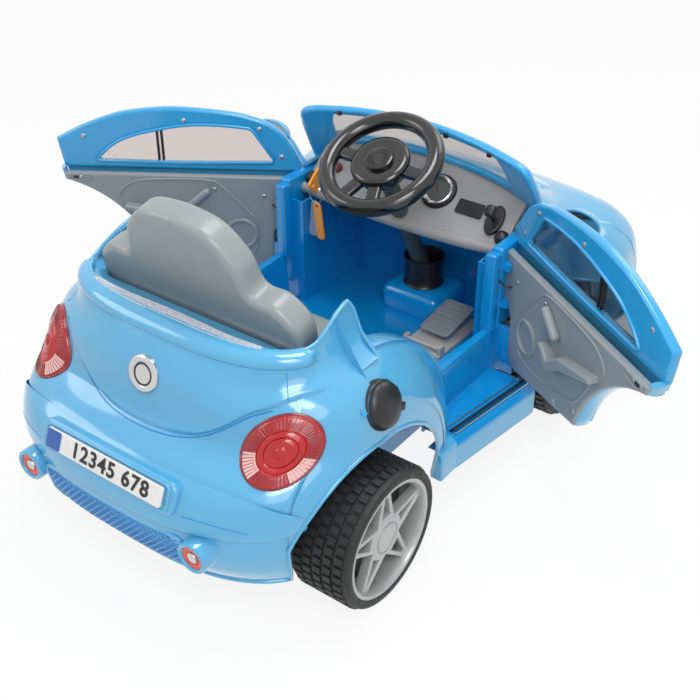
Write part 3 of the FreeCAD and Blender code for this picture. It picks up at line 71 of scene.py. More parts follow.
def finish(name, colour, roughness, vary, scale, bump=0.04, coat=0.0, scuff=0.0, metal=0.0, clear=0.0,
           glow=0.0, grain=900.0):
    """Finish with slow colour drift, uneven roughness, fine grain and faint scuffs."""
    made = bpy.data.materials.new(name)
    made.use_nodes = True
    tree = made.node_tree
    shader = tree.nodes["Principled BSDF"]
    coords = tree.nodes.new("ShaderNodeTexCoord")

    tint = tree.nodes.new("ShaderNodeMix")
    tint.data_type = "RGBA"
    fill(tint, {
        "A": [c * (1 - vary) for c in colour] + [1],
        "B": [min(1.0, c * (1 + vary)) for c in colour] + [1],
    })
    tree.links.new(noise(tree, coords, scale, 4.0), tint.inputs["Factor"])
    tree.links.new(tint.outputs["Result"], shader.inputs["Base Color"])

    spread = tree.nodes.new("ShaderNodeMapRange")
    fill(spread, {
        "From Min": 0.3, "From Max": 0.75,
        "To Min": max(0.02, roughness - 0.06 - scuff * 0.3), "To Max": min(1.0, roughness + 0.08 + scuff),
    })
    tree.links.new(noise(tree, coords, scale * 7, 6.0), spread.inputs["Value"])
    tree.links.new(spread.outputs["Result"], shader.inputs["Roughness"])

    raised = tree.nodes.new("ShaderNodeBump")
    fill(raised, {"Strength": bump, "Distance": 0.0006})
    tree.links.new(noise(tree, coords, grain, 3.0), raised.inputs["Height"])
    tree.links.new(raised.outputs["Normal"], shader.inputs["Normal"])

    fill(shader, {"Metallic": metal, "Coat Weight": coat, "Coat Roughness": 0.06})
    if clear:
        fill(shader, {"Transmission Weight": clear, "IOR": 1.12})
    if glow:
        fill(shader, {"Subsurface Weight": glow, "Subsurface Radius": (0.01, 0.004, 0.004)})
    return made


# Each finish: name, colour, roughness, colour drift, its scale and the depth of the grain
BODY_BLUE = finish(
    "body_blue", (0.085, 0.405, 0.680), 0.16, 0.04, 3, 0.015, coat=0.8, scuff=0.02,
)
CABIN_BLUE = finish(
    "cabin_blue", (0.003, 0.275, 0.660), 0.22, 0.05, 4, 0.02, coat=0.4, scuff=0.03,
)
DOOR_BLUE = finish(
    "door_blue", (0.025, 0.355, 0.710), 0.20, 0.05, 4, 0.02, coat=0.5, scuff=0.03,
)
# Darker copy of the body blue for the moulded rear mesh: paints the shade among its bars
MESH_SHADE_BLUE = finish("mesh_blue", (0.055, 0.27, 0.62), 0.30, 0.08, 20, coat=0.2)
PLATE_BLUE = finish("plate_band", (0.008, 0.10, 0.42), 0.25, 0.06, 20, coat=0.4)
SEAT_GREY = finish(
    "seat_grey", (0.278, 0.315, 0.322), 0.36, 0.05, 5, 0.06, coat=0.15, scuff=0.05,
)
PANEL_GREY = finish("panel_grey", (0.258, 0.295, 0.315), 0.44, 0.05, 6, 0.08, scuff=0.05)
DASH_GREY = finish("dash_grey", (0.335, 0.335, 0.335), 0.42, 0.05, 6, 0.10, scuff=0.04)
PALE_GREY = finish("pale_grey", (0.52, 0.50, 0.46), 0.45, 0.05, 6, 0.08, scuff=0.04)
COLUMN_GREY = finish("column_grey", (0.085, 0.10, 0.095), 0.45, 0.1, 20, scuff=0.08)
BLACK_GLOSS = finish(
    "gloss_black", (0.006, 0.0065, 0.007), 0.16, 0.2, 12, 0.03, coat=0.5, scuff=0.04,
)
BLACK = finish("satin_black", (0.012, 0.012, 0.014), 0.34, 0.2, 12, 0.06, scuff=0.06)
TYRE_BLACK = finish(
    "tyre_black", (0.014, 0.015, 0.015), 0.55, 0.25, 18, 0.18, scuff=0.12, grain=600.0,
)
BATTERY = finish("battery_case", (0.03, 0.03, 0.035), 0.5, 0.15, 20, 0.1, scuff=0.1)
RIM_SILVER = finish("rim_silver", (0.47, 0.475, 0.475), 0.33, 0.05, 14, metal=0.25)
CHROME = finish("plated_silver", (0.62, 0.62, 0.62), 0.12, 0.04, 10, metal=0.95, scuff=0.04)
INSERT_SILVER = finish(
    "insert_silver", (0.60, 0.63, 0.70), 0.26, 0.04, 16, 0.01, metal=0.2, scuff=0.03,
)
STEEL = finish("zinc_steel", (0.42, 0.42, 0.43), 0.38, 0.08, 25, metal=0.9, scuff=0.10)
MIRROR = finish("mirror_film", (0.62, 0.60, 0.57), 0.07, 0.04, 10, 0.01, metal=1.0)
RED_LENS = finish("red_lens", (0.46, 0.005, 0.009), 0.12, 0.25, 40, coat=0.3, glow=0.1)
DARK_RED_LENS = finish("dark_red_lens", (0.22, 0.004, 0.008), 0.14, 0.35, 60, coat=0.8)
PINK_LENS = finish("clear_lens", (0.80, 0.46, 0.44), 0.14, 0.10, 40, coat=0.8)
DARK_RED = finish("dark_red_button", (0.16, 0.006, 0.02), 0.3, 0.12, 40, coat=0.3)
HEAD_LENS = finish("head_lens", (0.66, 0.69, 0.72), 0.08, 0.06, 30, coat=0.8)
CLEAR_TAG = finish("clear_tag", (0.60, 0.66, 0.78), 0.20, 0.06, 40, clear=0.35, coat=0.4)
ORANGE = finish(
    "orange_plastic", (0.88, 0.33, 0.012), 0.30, 0.06, 30, coat=0.3, scuff=0.05,
)
EXHAUST_ORANGE = finish("exhaust_orange", (0.74, 0.075, 0.025), 0.28, 0.08, 40, coat=0.4)
WHITE_PLATE = finish(
    "white_plate", (0.80, 0.80, 0.78), 0.25, 0.03, 12, coat=0.4, scuff=0.03,
)
SMOKE = finish("smoke_pane", (0.68, 0.62, 0.60), 0.05, 0.03, 6, 0.01, clear=0.97)
# Darker copy of the smoke tint for the right door pane: paints the dark reflection that pane shows at a
# grazing angle
SMOKE_PAINTED_REFLECTION = finish("smoke_pane_painted_reflection", (0.25, 0.29, 0.32), 0.05, 0.04, 6, 0.01, clear=0.95)
# Greyer copy of the smoke tint for the windshield: its own smoke tint, with painted reflection darkening it
SMOKE_SHIELD_REFLECTION = finish("smoke_tint_and_shield_reflection", (0.56, 0.54, 0.53), 0.05, 0.04, 6, 0.01, clear=0.97)


# Building helpers

def link(obj):
    scene.collection.objects.link(obj)
    return obj


def dress(obj, look, crease=35):
    """One finish and smooth shading, kept sharp where faces meet at more than the crease angle."""
    mesh = obj.data
    mesh.materials.clear()
    mesh.materials.append(look)
    mesh.polygons.foreach_set("use_smooth", [True] * len(mesh.polygons))
    mesh.set_sharp_from_angle(angle=math.radians(crease))


def settle(obj, look, node=None, body="body", crease=35):
    """Finish and body of a piece, and the CAD node that it stands for."""
    dress(obj, look, crease)
    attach(obj, body)
    if node:
        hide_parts(node)


def settle_pair(obj, look, crease):
    """Settle a right-hand piece of the body and its left-hand copy."""
    twin = mirror_copy(obj, obj.name.replace("_right", "_left"))
    settle(obj, look, crease=crease)
    settle(twin, look, crease=crease)


def mesh_object(name, points, faces):
    mesh = bpy.data.meshes.new(name)
    mesh.from_pydata([tuple(float(c) * MM for c in p) for p in points], [], faces)
    mesh.update()
    return link(bpy.data.objects.new(name, mesh))


def worked_object(name, work, base=None):
    """Object from a finished bmesh, placed by a base matrix."""
    mesh = bpy.data.meshes.new(name)
    work.to_mesh(mesh)
    work.free()
    if base is not None:
        mesh.transform(metres(base))
    return link(bpy.data.objects.new(name, mesh))


@contextlib.contextmanager
def editing(mesh):
    """A bmesh of a mesh, written back at the end."""
    work = bmesh.new()
    work.from_mesh(mesh)
    yield work
    work.to_mesh(mesh)
    work.free()


def outward(obj):
    """Make the face directions agree."""
    with editing(obj.data) as work:
        bmesh.ops.recalc_face_normals(work, faces=work.faces)
    return obj


def surface(name, rows, close_rows=False, close_columns=False):
    """Quad mesh through a grid of points."""
    grid = np.asarray(rows, float)
    down, wide = grid.shape[:2]
    faces = []
    for i in range(down if close_rows else down - 1):
        below = (i + 1) % down
        for j in range(wide if close_columns else wide - 1):
            right = (j + 1) % wide
            faces.append((i * wide + j, i * wide + right, below * wide + right, below * wide + j))
    return mesh_object(name, grid.reshape(-1, 3), faces)


def thicken(obj, thick, offset=-1.0):
    """Give a sheet a wall."""
    solid = obj.modifiers.new("solid", "SOLIDIFY")
    solid.thickness = thick * MM
    solid.offset = offset
    solid.use_quality_normals = True
    bpy.context.view_layer.update()
    graph = bpy.context.evaluated_depsgraph_get()
    mesh = bpy.data.meshes.new_from_object(obj.evaluated_get(graph))
    obj.modifiers.clear()
    obj.data = mesh
    return obj


def merged(name, parts):
    """One object from several meshes."""
    work = bmesh.new()
    for part in parts:
        part.data.transform(part.matrix_world)
        work.from_mesh(part.data)
    for part in parts:
        bpy.data.objects.remove(part)
    return worked_object(name, work)


def mirror_copy(obj, name):
    """Left-hand copy of a right-hand mesh."""
    mesh = obj.data.copy()
    mesh.transform(Matrix.Diagonal((-1, 1, 1, 1)))
    mesh.flip_normals()
    return link(bpy.data.objects.new(name, mesh))


def fractions(count):
    return [k / (count - 1) for k in range(count)]


def turns_round(count):
    """Angles spaced evenly round a full turn."""
    return [2 * math.pi * k / count for k in range(count)]


def soft_step(t):
    """Smooth rise from 0 at 0 to 1 at 1."""
    t = np.clip(t, 0, 1)
    return float(t * t * (3 - 2 * t))


def mirrored(half):
    """Points from the left end to the right end, from those that run from the middle to the right."""
    return [(-x, z) for x, z in reversed(half[1:])] + list(half)


def smooth_path(points, closed=False, steps=8):
    """Catmull-Rom curve through points."""
    spots = [np.asarray(p, float) for p in points]
    count = len(spots)
    curve = []
    for i in range(count if closed else count - 1):
        before = spots[i - 1] if closed or i else spots[0]
        start = spots[i]
        end = spots[(i + 1) % count]
        after = spots[(i + 2) % count] if closed or i + 2 < count else end
        for step in range(steps):
            t = step / steps
            curve.append(0.5 * (
                2 * start + (end - before) * t + (2 * before - 5 * start + 4 * end - after) * t * t
                + (3 * start - before - 3 * end + after) * t ** 3
            ))
    if not closed:
        curve.append(spots[-1])
    return [tuple(p) for p in curve]


def sweep(name, path, radius, sides=12, closed=False, flat=1.0):
    """Tube along a path; flat squeezes it across the second axis."""
    spots = [Vector(p) for p in path]
    count = len(spots)
    rings = []
    across = None
    for i, spot in enumerate(spots):
        if closed:
            along = spots[(i + 1) % count] - spots[i - 1]
        else:
            along = spots[min(i + 1, count - 1)] - spots[max(i - 1, 0)]
        along.normalize()
        if across is None:
            across = along.orthogonal().normalized()
        across = (across - along * across.dot(along)).normalized()
        other = along.cross(across)
        size = radius(i / max(1, count - 1)) if callable(radius) else radius
        rings.append([
            spot + across * (size * math.cos(turn)) + other * (size * flat * math.sin(turn))
            for turn in turns_round(sides)
        ])
    obj = surface(name, rings, close_rows=closed, close_columns=True)
    if not closed:
        with editing(obj.data) as work:
            work.verts.ensure_lookup_table()
            total = len(work.verts)
            for first in (0, total - sides):
                work.faces.new([work.verts[first + k] for k in range(sides)])
    return outward(obj)


def lathe(name, profile, base, segments=64, filled=True):
    """Turned piece: (radius, height) pairs about the local Z axis of a base matrix."""
    rows = [
        [(radius * math.cos(turn), radius * math.sin(turn), height) for turn in turns_round(segments)]
        for radius, height in profile
    ]
    obj = surface(name, rows, close_columns=True)
    with editing(obj.data) as work:
        bmesh.ops.remove_doubles(work, verts=work.verts, dist=1e-7)
        if filled:
            bmesh.ops.holes_fill(work, edges=[e for e in work.edges if e.is_boundary])
        bmesh.ops.recalc_face_normals(work, faces=work.faces)
    obj.data.transform(metres(base))
    return obj


def metres(base):
    """The same placement with its move in metres."""
    moved = base.copy()
    moved.translation = base.translation * MM
    return moved


def axes(origin, right, up):
    """Placement from an origin, a right direction and an up direction; local Z is their cross product."""
    x = Vector(right).normalized()
    z = x.cross(Vector(up)).normalized()
    y = z.cross(x)
    base = Matrix.Identity(4)
    for column, values in enumerate((x, y, z, origin)):
        for row in range(3):
            base[row][column] = values[row]
    return base


def facing(origin, normal, up=(0, 0, 1)):
    """Placement whose local Z is the normal."""
    z = Vector(normal).normalized()
    x = Vector(up).cross(z).normalized()
    return axes(origin, x, z.cross(x))


def turned_about_z(base, angle):
    return base @ Matrix.Rotation(angle, 4, "Z")


def curve_mesh(curve):
    """Mesh of a filled curve, which is used up."""
    source = link(bpy.data.objects.new(curve.name + "_outline", curve))
    bpy.context.view_layer.update()
    graph = bpy.context.evaluated_depsgraph_get()
    mesh = bpy.data.meshes.new_from_object(source.evaluated_get(graph))
    bpy.data.objects.remove(source)
    bpy.data.curves.remove(curve)
    return mesh


def plate(name, outlines, base, thick, bevel, low=0.0, rounds=3):
    """Flat plate with rounded edges and holes, in the plane of a base matrix; low is its lowest local Z."""
    curve = bpy.data.curves.new(name, "CURVE")
    curve.dimensions = "2D"
    curve.fill_mode = "BOTH"
    for outline in outlines:
        spline = curve.splines.new("POLY")
        spline.points.add(len(outline) - 1)
        for point, spot in zip(spline.points, outline):
            point.co = (spot[0] * MM, spot[1] * MM, 0, 1)
        spline.use_cyclic_u = True
    curve.extrude = max(0.0, thick / 2 - bevel) * MM
    curve.bevel_depth = bevel * MM
    curve.bevel_resolution = rounds
    curve.offset = -bevel * MM
    mesh = curve_mesh(curve)
    mesh.transform(Matrix.Translation((0, 0, (thick / 2 + low) * MM)))
    mesh.transform(metres(base))
    return link(bpy.data.objects.new(name, mesh))


def block(name, low, high, round_by, base=None, segments=3):
    """Box between two corners with rounded edges."""
    work = bmesh.new()
    bmesh.ops.create_cube(work, size=1.0)
    centre = (Vector(low) + Vector(high)) / 2
    spans = Vector(high) - Vector(low)
    for vert in work.verts:
        vert.co = Vector([centre[k] + vert.co[k] * spans[k] for k in range(3)]) * MM
    bmesh.ops.bevel(
        work, geom=list(work.edges), offset=round_by * MM, segments=segments, profile=0.5, affect="EDGES",
    )
    return worked_object(name, work, base)


def oval_outline(half_x, half_y, count=48, centre=(0, 0)):
    x, y = centre
    return [(x + half_x * math.cos(turn), y + half_y * math.sin(turn)) for turn in turns_round(count)]


def rounded_rectangle(x0, y0, x1, y1, radius, steps=5):
    corners = ((x1 - radius, y1 - radius, 0), (x0 + radius, y1 - radius, 90),
               (x0 + radius, y0 + radius, 180), (x1 - radius, y0 + radius, 270))
    points = []
    for cx, cy, start in corners:
        for t in fractions(steps + 1):
            turn = math.radians(start + 90 * t)
            points.append((cx + radius * math.cos(turn), cy + radius * math.sin(turn)))
    return points


# Body surfaces, by the same level tables as the solids

def ease(points, at):
    """Monotone cubic through (position, value) points, flat beyond both ends."""
    if at <= points[0][0]:
        return points[0][1]
    if at >= points[-1][0]:
        return points[-1][1]
    gaps = [b[0] - a[0] for a, b in zip(points, points[1:])]
    slopes = [(b[1] - a[1]) / gap for a, b, gap in zip(points, points[1:], gaps)]
    tangents = [slopes[0]]
    for before, after in zip(slopes, slopes[1:]):
        tangents.append(2 * before * after / (before + after) if before * after > 0 else 0)
    tangents.append(slopes[-1])
    cell = max(i for i in range(len(gaps)) if points[i][0] <= at)
    gap = gaps[cell]
    t = (at - points[cell][0]) / gap
    return (
        (1 + 2 * t) * (1 - t) ** 2 * points[cell][1] + t * (1 - t) ** 2 * gap * tangents[cell]
        + t * t * (3 - 2 * t) * points[cell + 1][1] + t * t * (t - 1) * gap * tangents[cell + 1]
    )


# Tables of (height, value) for a body end: half width, length position and roundness; start is where the end
# begins, drop is how far up its widths are read in the middle, and away is its direction along the car
REAR = {
    "widths": [(60, 268), (80, 272), (120, 279), (170, 284), (215, 286), (245, 286), (270, 284), (300, 278),
               (322, 268), (338, 254), (348, 238), (358, 224), (372, 215), (392, 208), (440, 199)],
    "ends": [(60, -500), (82, -517), (120, -542), (154, -549), (200, -546), (225, -534), (242, -512),
             (256, -484), (270, -464), (289, -456), (327, -449), (350, -438), (372, -422), (392, -405),
             (440, -385)],
    "powers": [(60, 2.8), (240, 2.9), (300, 2.7), (345, 2.6), (375, 3.0), (392, 3.3), (440, 3.3)],
    "start": -300, "drop": 30, "away": -1,
}
FRONT = {
    "widths": [(60, 282), (100, 287), (150, 292), (220, 292), (255, 288), (280, 281), (300, 270), (318, 254),
               (334, 236), (350, 219), (365, 203), (378, 185), (388, 164), (396, 140)],
    "ends": [(60, 492), (80, 512), (110, 536), (150, 550), (190, 551), (225, 542), (250, 527), (275, 503),
             (300, 470), (320, 438), (340, 400), (355, 366), (370, 326), (380, 296), (388, 270), (396, 250)],
    "powers": [(60, 2.8), (200, 2.8), (260, 2.7), (320, 2.5), (396, 2.3)],
    "start": 250, "drop": 18, "away": 1,
}
REAR_AXLE_Y = -326
FRONT_AXLE_Y = 236
WHEEL_R = 109
BASE_Z = 78
SKIN = 4
BEAD_R = 3.2


def end_point(end, degrees, z):
    """Point of one body end at a turn from its middle and a height."""
    angle = math.radians(degrees)
    side = abs(math.sin(angle))
    power = ease(end["powers"], z)
    across = ease(end["widths"], z + end["drop"] * (1 - side)) * side ** (2 / power)
    reach = ease(end["ends"], z) - end["start"]
    along = end["start"] + reach * abs(math.cos(angle)) ** (2 / power)
    return Vector((math.copysign(across, degrees), along, z))


def flat_point(end, x, z):
    """Point on a body end above a place in its end view."""
    power = ease(end["powers"], z)
    side = 0.5
    for _ in range(8):
        side = min(1.0, (abs(x) / ease(end["widths"], z + end["drop"] * (1 - side))) ** (power / 2))
    return end_point(end, math.copysign(math.degrees(math.asin(side)), x), z)


def skin_point(end, x, z, lift):
    """Point above a place in the end view of a body end, lifted off the skin."""
    step = 2.0
    along = flat_point(end, x + step, z) - flat_point(end, x - step, z)
    up = flat_point(end, x, z + step) - flat_point(end, x, z - step)
    normal = along.cross(up).normalized()
    return flat_point(end, x, z) + normal * math.copysign(lift, lift * normal.y * end["away"])


def skin_turn(end, degrees, z, lift):
    """Point on a body end at a turn and a height, lifted off the skin."""
    spot = end_point(end, degrees, z)
    along = end_point(end, degrees + 0.5, z) - end_point(end, degrees - 0.5, z)
    up = end_point(end, degrees, z + 1) - end_point(end, degrees, z - 1)
    normal = along.cross(up).normalized()
    if normal.dot(spot - Vector((0, end["start"], z))) < 0:
        normal = -normal
    return spot + normal * lift


def skin_path(end, points, lift):
    return [skin_point(end, x, z, lift) for x, z in points]


def side_point(end, y, z, side):
    return Vector((side * ease(end["widths"], z), y, z))


def arch_floor(y, arches):
    """Height of the lower edge of a body side: the base line or the top of a wheel arch."""
    heights = [BASE_Z]
    for centre_y, centre_z, radius in arches:
        inside = radius ** 2 - (y - centre_y) ** 2
        if inside > (centre_z - BASE_Z) ** 2:
            heights.append(centre_z + math.sqrt(inside))
    return max(heights)


def end_turns(end, arch, count):
    """Turns of the columns round half a body end, two of them close together at the wheel arch's edge."""
    centre_y, centre_z, radius = arch
    edge_y = centre_y + end["away"] * math.sqrt(radius ** 2 - (centre_z - BASE_Z) ** 2)
    low = 5.0
    high = 89.0
    for _ in range(40):
        middle = (low + high) / 2
        if (end_point(end, middle, BASE_Z + 15).y - edge_y) * end["away"] > 0:
            low = middle
        else:
            high = middle
    past = low + 0.25
    return [low * t for t in fractions(count)] + [past + (90 - past) * t for t in fractions(23)]


def all_columns(column, turns, sides):
    """Columns right round a body end, from its left side to its right side."""
    columns = [column(y=y, side=-1) for y in reversed(sides)]
    columns += [column(degrees=-t) for t in reversed(turns[1:])]
    columns += [column(degrees=t) for t in turns]
    columns += [column(y=y, side=1) for y in sides]
    return columns


def column_spot(end, degrees, y, side):
    """Function that gives the point at a height in one column of a body end."""
    if degrees is None:
        return lambda z: side_point(end, y, z, side)
    return lambda z: end_point(end, degrees, z)


def shell(name, node, columns):
    """Shell of a body end, with a bead along its lower edge and its wheel arches."""
    settle(thicken(outward(surface(f"{name}_shell", columns)), SKIN), BODY_BLUE, node, crease=40)
    bead = sweep(f"{name}_edge_bead", [column[0] for column in columns], BEAD_R, sides=10)
    settle(bead, BODY_BLUE, crease=60)


def raised_band(name, end, reach, low, high, rise, step, count, rows):
    """Field that stands proud of a body end between two heights that vary with the turn."""
    sink = 1.2
    end_fade = 14
    grid = []
    for s in fractions(count):
        turn = -reach + 2 * reach * s
        bottom = ease(low, abs(turn))
        top = ease(high, abs(turn))
        fade = soft_step((reach - abs(turn)) / end_fade)
        column = []
        for t in fractions(rows):
            z = bottom + (top - bottom) * t ** 1.6
            inside = min(z - bottom, top - z + step)
            lift = (rise * fade + sink) * soft_step(inside / step) - sink
            column.append(skin_turn(end, turn, z, lift))
        grid.append(column)
    return outward(surface(name, grid))


def raised_field(name, end, low, high, half, rise, columns, rows):
    """Field that stands proud of a body end between two edge curves in its end view."""
    rim = 6
    sink = 1.5
    grid = []
    for s in fractions(columns):
        x = -half + 2 * half * s
        bottom = ease(low, x)
        tall = ease(high, x) - bottom
        column = []
        for t in fractions(rows):
            inside = min(min(s, 1 - s) * 2 * half, t * tall, (1 - t) * tall)
            lift = (rise + sink) * soft_step(inside / rim) - sink
            column.append(skin_point(end, x, bottom + tall * t, lift))
        grid.append(column)
    return outward(surface(name, grid))


# Rear body

LIP_Z = 391
SIDE_START_Y = -296.5
ARCHES_REAR = ((REAR_AXLE_Y, WHEEL_R, 143), (-292, 100, 150))
FENDER_EDGE_R = 199
FIN_TIP_Y = -268
FIN_BASE_Z = 344
REAR_SIDES = (-298, -296.8, -296.2, -288, -280, -272, -262, -250, -236, -222, -208, -194, -180, -168, -158,
              -150, -145, -143, -142.3, -138, -133, -129)
FIN_SIDES = (-296, -290, -284, -276, -268, -262, -258, -255, -253.5)


def rear_top(y):
    """Height of the upper edge of the rear body in side view, fins included."""
    return ease([(-361, LIP_Z), (-340, 395), (-321, 403), (-293, 416), (FIN_TIP_Y, 424)], y)


def rear_column(degrees=None, y=None, side=1):
    """Points up one column of the rear body."""
    spot = column_spot(REAR, degrees, y, side)
    low = BASE_Z
    high = LIP_Z
    for _ in range(6):
        low = arch_floor(spot(low).y, ARCHES_REAR)
        high = rear_top(spot(high).y)
    if degrees is None and y > SIDE_START_Y:
        high = WHEEL_R + math.sqrt(FENDER_EDGE_R ** 2 - (y - REAR_AXLE_Y) ** 2)
    return [spot(low + (high - low) * t) for t in fractions(71)]


rear_columns = all_columns(rear_column, end_turns(REAR, ARCHES_REAR[0], 35), REAR_SIDES)
shell("rear", "rear_body_shell", rear_columns)


# Seat fins with thin beads along their edges

def fin_column(y, side):
    high = rear_top(y)
    if y > FIN_TIP_Y:
        high = ease([(FIN_TIP_Y, 424), (-258, 409), (-255, 392), (-253, 366)], y)
    return [side_point(REAR, y, FIN_BASE_Z + (high - FIN_BASE_Z) * t, side) for t in fractions(25)]


fins = []
for side in (-1, 1):
    fins.append(thicken(outward(surface(f"fin_{side}", [fin_column(y, side) for y in FIN_SIDES])), 5))
settle(merged("seat_fins", fins), BODY_BLUE, crease=40)
fin_edge = [column[-1] for column in rear_columns if column[-1].z > LIP_Z + 0.2 and column[-1].x > 0]
fin_edge += [fin_column(y, 1)[-1] for y in FIN_SIDES[2:]]
fin_edge.append(side_point(REAR, -253, 346, 1))
settle_pair(sweep("fin_bead_right", fin_edge, 3.0, sides=10), BODY_BLUE, 60)

# Overhanging lip round the seat ledge, fading into the fins; its section lists (height, overhang)
LIP_SECTION = ((372, 0), (374, 6), (377, 10), (382, 12.5), (387, 12.5), (391, 9.5), (393.5, 3), (393.5, -5),
               (389, -9))
LIP_REACH = 80
LIP_FADE = 12
lip_rows = []
for turn in range(-LIP_REACH, LIP_REACH + 1, 2):
    fade = soft_step((LIP_REACH - abs(turn)) / LIP_FADE)
    row = []
    for z, out in LIP_SECTION:
        spot = end_point(REAR, turn, z)
        ahead = end_point(REAR, turn + 1, z) - end_point(REAR, turn - 1, z)
        away = Vector((-ahead.y, ahead.x, 0)).normalized()
        if away.dot(Vector((spot.x, spot.y - REAR["start"], 0))) < 0:
            away = -away
        sink = 3 * (1 - fade) if z > 388 else 0
        row.append(spot + away * (out * fade + 0.6) - Vector((0, 0, sink)))
    lip_rows.append(row)
settle(outward(surface("rear_lip", lip_rows)), BODY_BLUE, crease=50)

# Rounded shoulders from the fender sides in to the door jambs
JAMB_Y = -296
JAMB_Z = 100
JAMB_R = 256.2
JAMB_X = 226
for side, tag in SIDES:
    off_skin = Vector((side * 0.9, 0, 0))
    rows = []
    for s in fractions(49):
        turn = math.radians(2 + 90 * s)
        across = math.cos(turn)
        up = math.sin(turn)
        start, bend = (
            side_point(REAR, REAR_AXLE_Y + radius * across, WHEEL_R + radius * up, side) + off_skin
            for radius in (196, 216)
        )
        crown = Vector((side * JAMB_X, JAMB_Y + JAMB_R * across, JAMB_Z + JAMB_R * up))
        rows.append([start * (1 - t) ** 2 + bend * (2 * t * (1 - t)) + crown * t * t for t in fractions(15)])
    settle(outward(surface(f"fender_shoulder_{tag}", rows)), BODY_BLUE, crease=60)

# Rocker ends that close the fronts of the rear wheel arches
ROCKER_INNER_X = 262
ROCKER_SECTION = (
    (288.8, 72), (288.8, 92), (288.6, 112), (287, 119), (283, 124), (276, 126.6), (ROCKER_INNER_X, 127),
)
for side, tag in SIDES:
    rows = [[(side * (ease(REAR["widths"], z) - 2), -143.5, z) for x, z in ROCKER_SECTION]]
    for y, shrink in ((-144.5, 2.0), (-143, 0.4), (-140, 0), (-125, 0), (-101, 0)):
        rows.append([(side * (x - (shrink if x > ROCKER_INNER_X else 0)), y, z) for x, z in ROCKER_SECTION])
    settle(outward(surface(f"rocker_end_{tag}", rows)), BODY_BLUE, crease=50)

# Boot lid and bumper step, by (turn, height) edges, and dark lines of painted shade round them along the
# moulded seams, the bumper grooves and the lid's lower step
LID_LOW = ((0, 260), (5, 262), (12, 269), (20, 286), (28, 306), (34, 318), (48, 332), (63, 340), (82, 343))
LID_HIGH = ((0, 378), (82, 378))
BUMPER_LOW = ((0, 176), (30, 178), (50, 176), (66, 180))
BUMPER_HIGH = ((0, 243), (14, 242), (26, 240), (42, 232), (56, 216), (66, 196))
settle(raised_band("boot_lid", REAR, 80, LID_LOW, LID_HIGH, 5.0, 5.0, 120, 34), BODY_BLUE, crease=60)
settle(raised_band("bumper_step", REAR, 64, BUMPER_LOW, BUMPER_HIGH, 4.0, 5.0, 110, 24), BODY_BLUE, crease=60)


def rear_shade_line(name, points, radius, lift):
    """Dark line of painted shade on the rear skin through (turn, height) places: the darker cabin blue paints
    the shade in a moulded seam, groove or step of the body plastic.
    """
    path = [skin_turn(REAR, turn, z, lift) for turn, z in smooth_path(points)]
    settle(sweep(name, path, radius, sides=8), CABIN_BLUE, crease=60)


# Cabin-blue lines that paint the shade in the lid seams and bumper grooves and under the lid's lower edge
for side, tag in SIDES:
    seam = ((57, 369), (56.5, 354), (53, 338))
    groove = ((20, 206), (27, 205), (34, 202), (42, 196))
    rear_shade_line(f"lid_seam_{tag}", [(side * turn, z) for turn, z in seam], 0.8, 4.6)
    rear_shade_line(f"bumper_groove_{tag}", [(side * turn, z) for turn, z in groove], 1.1, 3.6)
rear_shade_line("lid_shadow_line", [(t, ease(LID_LOW, abs(t)) - 0.8) for t in range(-44, 45, 4)], 1.2, -0.2)

# Plate panel, plate and emblem
PLATE_LEAN = math.radians(68)
PLATE_OUT = Vector((0, -math.sin(PLATE_LEAN), math.cos(PLATE_LEAN)))
PLATE_BASE = facing(Vector((0, -535, 224)) + PLATE_OUT * 7, PLATE_OUT)
plate_panel_outline = rounded_rectangle(-128, -24, 128, 24, 15)
settle(plate("plate_panel", [plate_panel_outline], PLATE_BASE, 22, 5, -23, rounds=4), BODY_BLUE)
rim_path = [PLATE_BASE @ Vector((x, y, -1)) for x, y in rounded_rectangle(-117, -18.5, 117, 18.5, 8)]
settle(sweep("plate_panel_rim", rim_path, 2.6, closed=True), BODY_BLUE, crease=60)
number_plate = plate("plate_face", [rounded_rectangle(-110, -15, 110, 15, 4)], PLATE_BASE, 5, 1.2)
settle(number_plate, WHITE_PLATE, "number_plate")
plate_band = plate("plate_band_piece", [rounded_rectangle(-109, -14, -82, 14, 3)], PLATE_BASE, 1.0, 0.4, 4.6)
settle(plate_band, PLATE_BLUE)
digits = bpy.data.curves.new("plate_digits", "FONT")
digits.body = "12345 678"
digits.size = 31 * MM
digits.space_character = 1.12
digits.extrude = 0.4 * MM
digits.offset = 0.7 * MM
digits.align_x = "CENTER"
digits.align_y = "CENTER"
digits_mesh = curve_mesh(digits)
digits_mesh.transform(metres(PLATE_BASE @ Matrix.Translation((14, 0, 5.3))))
settle(link(bpy.data.objects.new("plate_digits", digits_mesh)), BLACK)

EMBLEM_BASE = facing((0, -453, 327), (0, -0.97, 0.26))
EMBLEM = ((0, 3.2), (16, 3.2), (18, 4.6), (22, 5.6), (25, 5.0), (27, 3.0), (27, -4), (0, -4))
settle(lathe("emblem_disc_face", EMBLEM, EMBLEM_BASE), CHROME, "emblem_disc")
EMBLEM_GROOVE = ((13.5, 3.0), (14, 3.7), (17.6, 3.7), (18, 3.0))
settle(lathe("emblem_groove", EMBLEM_GROOVE, EMBLEM_BASE, filled=False), BLACK)


# Tail lamps

def skin_height(end, spot, normal):
    """How far along a direction the skin of a body end lies from a point."""
    low = -60.0
    high = 60.0
    for _ in range(24):
        middle = (low + high) / 2
        trial = spot + normal * middle
        if (trial.y - flat_point(end, trial.x, trial.z).y) * end["away"] < 0:
            low = middle
        else:
            high = middle
    return (low + high) / 2


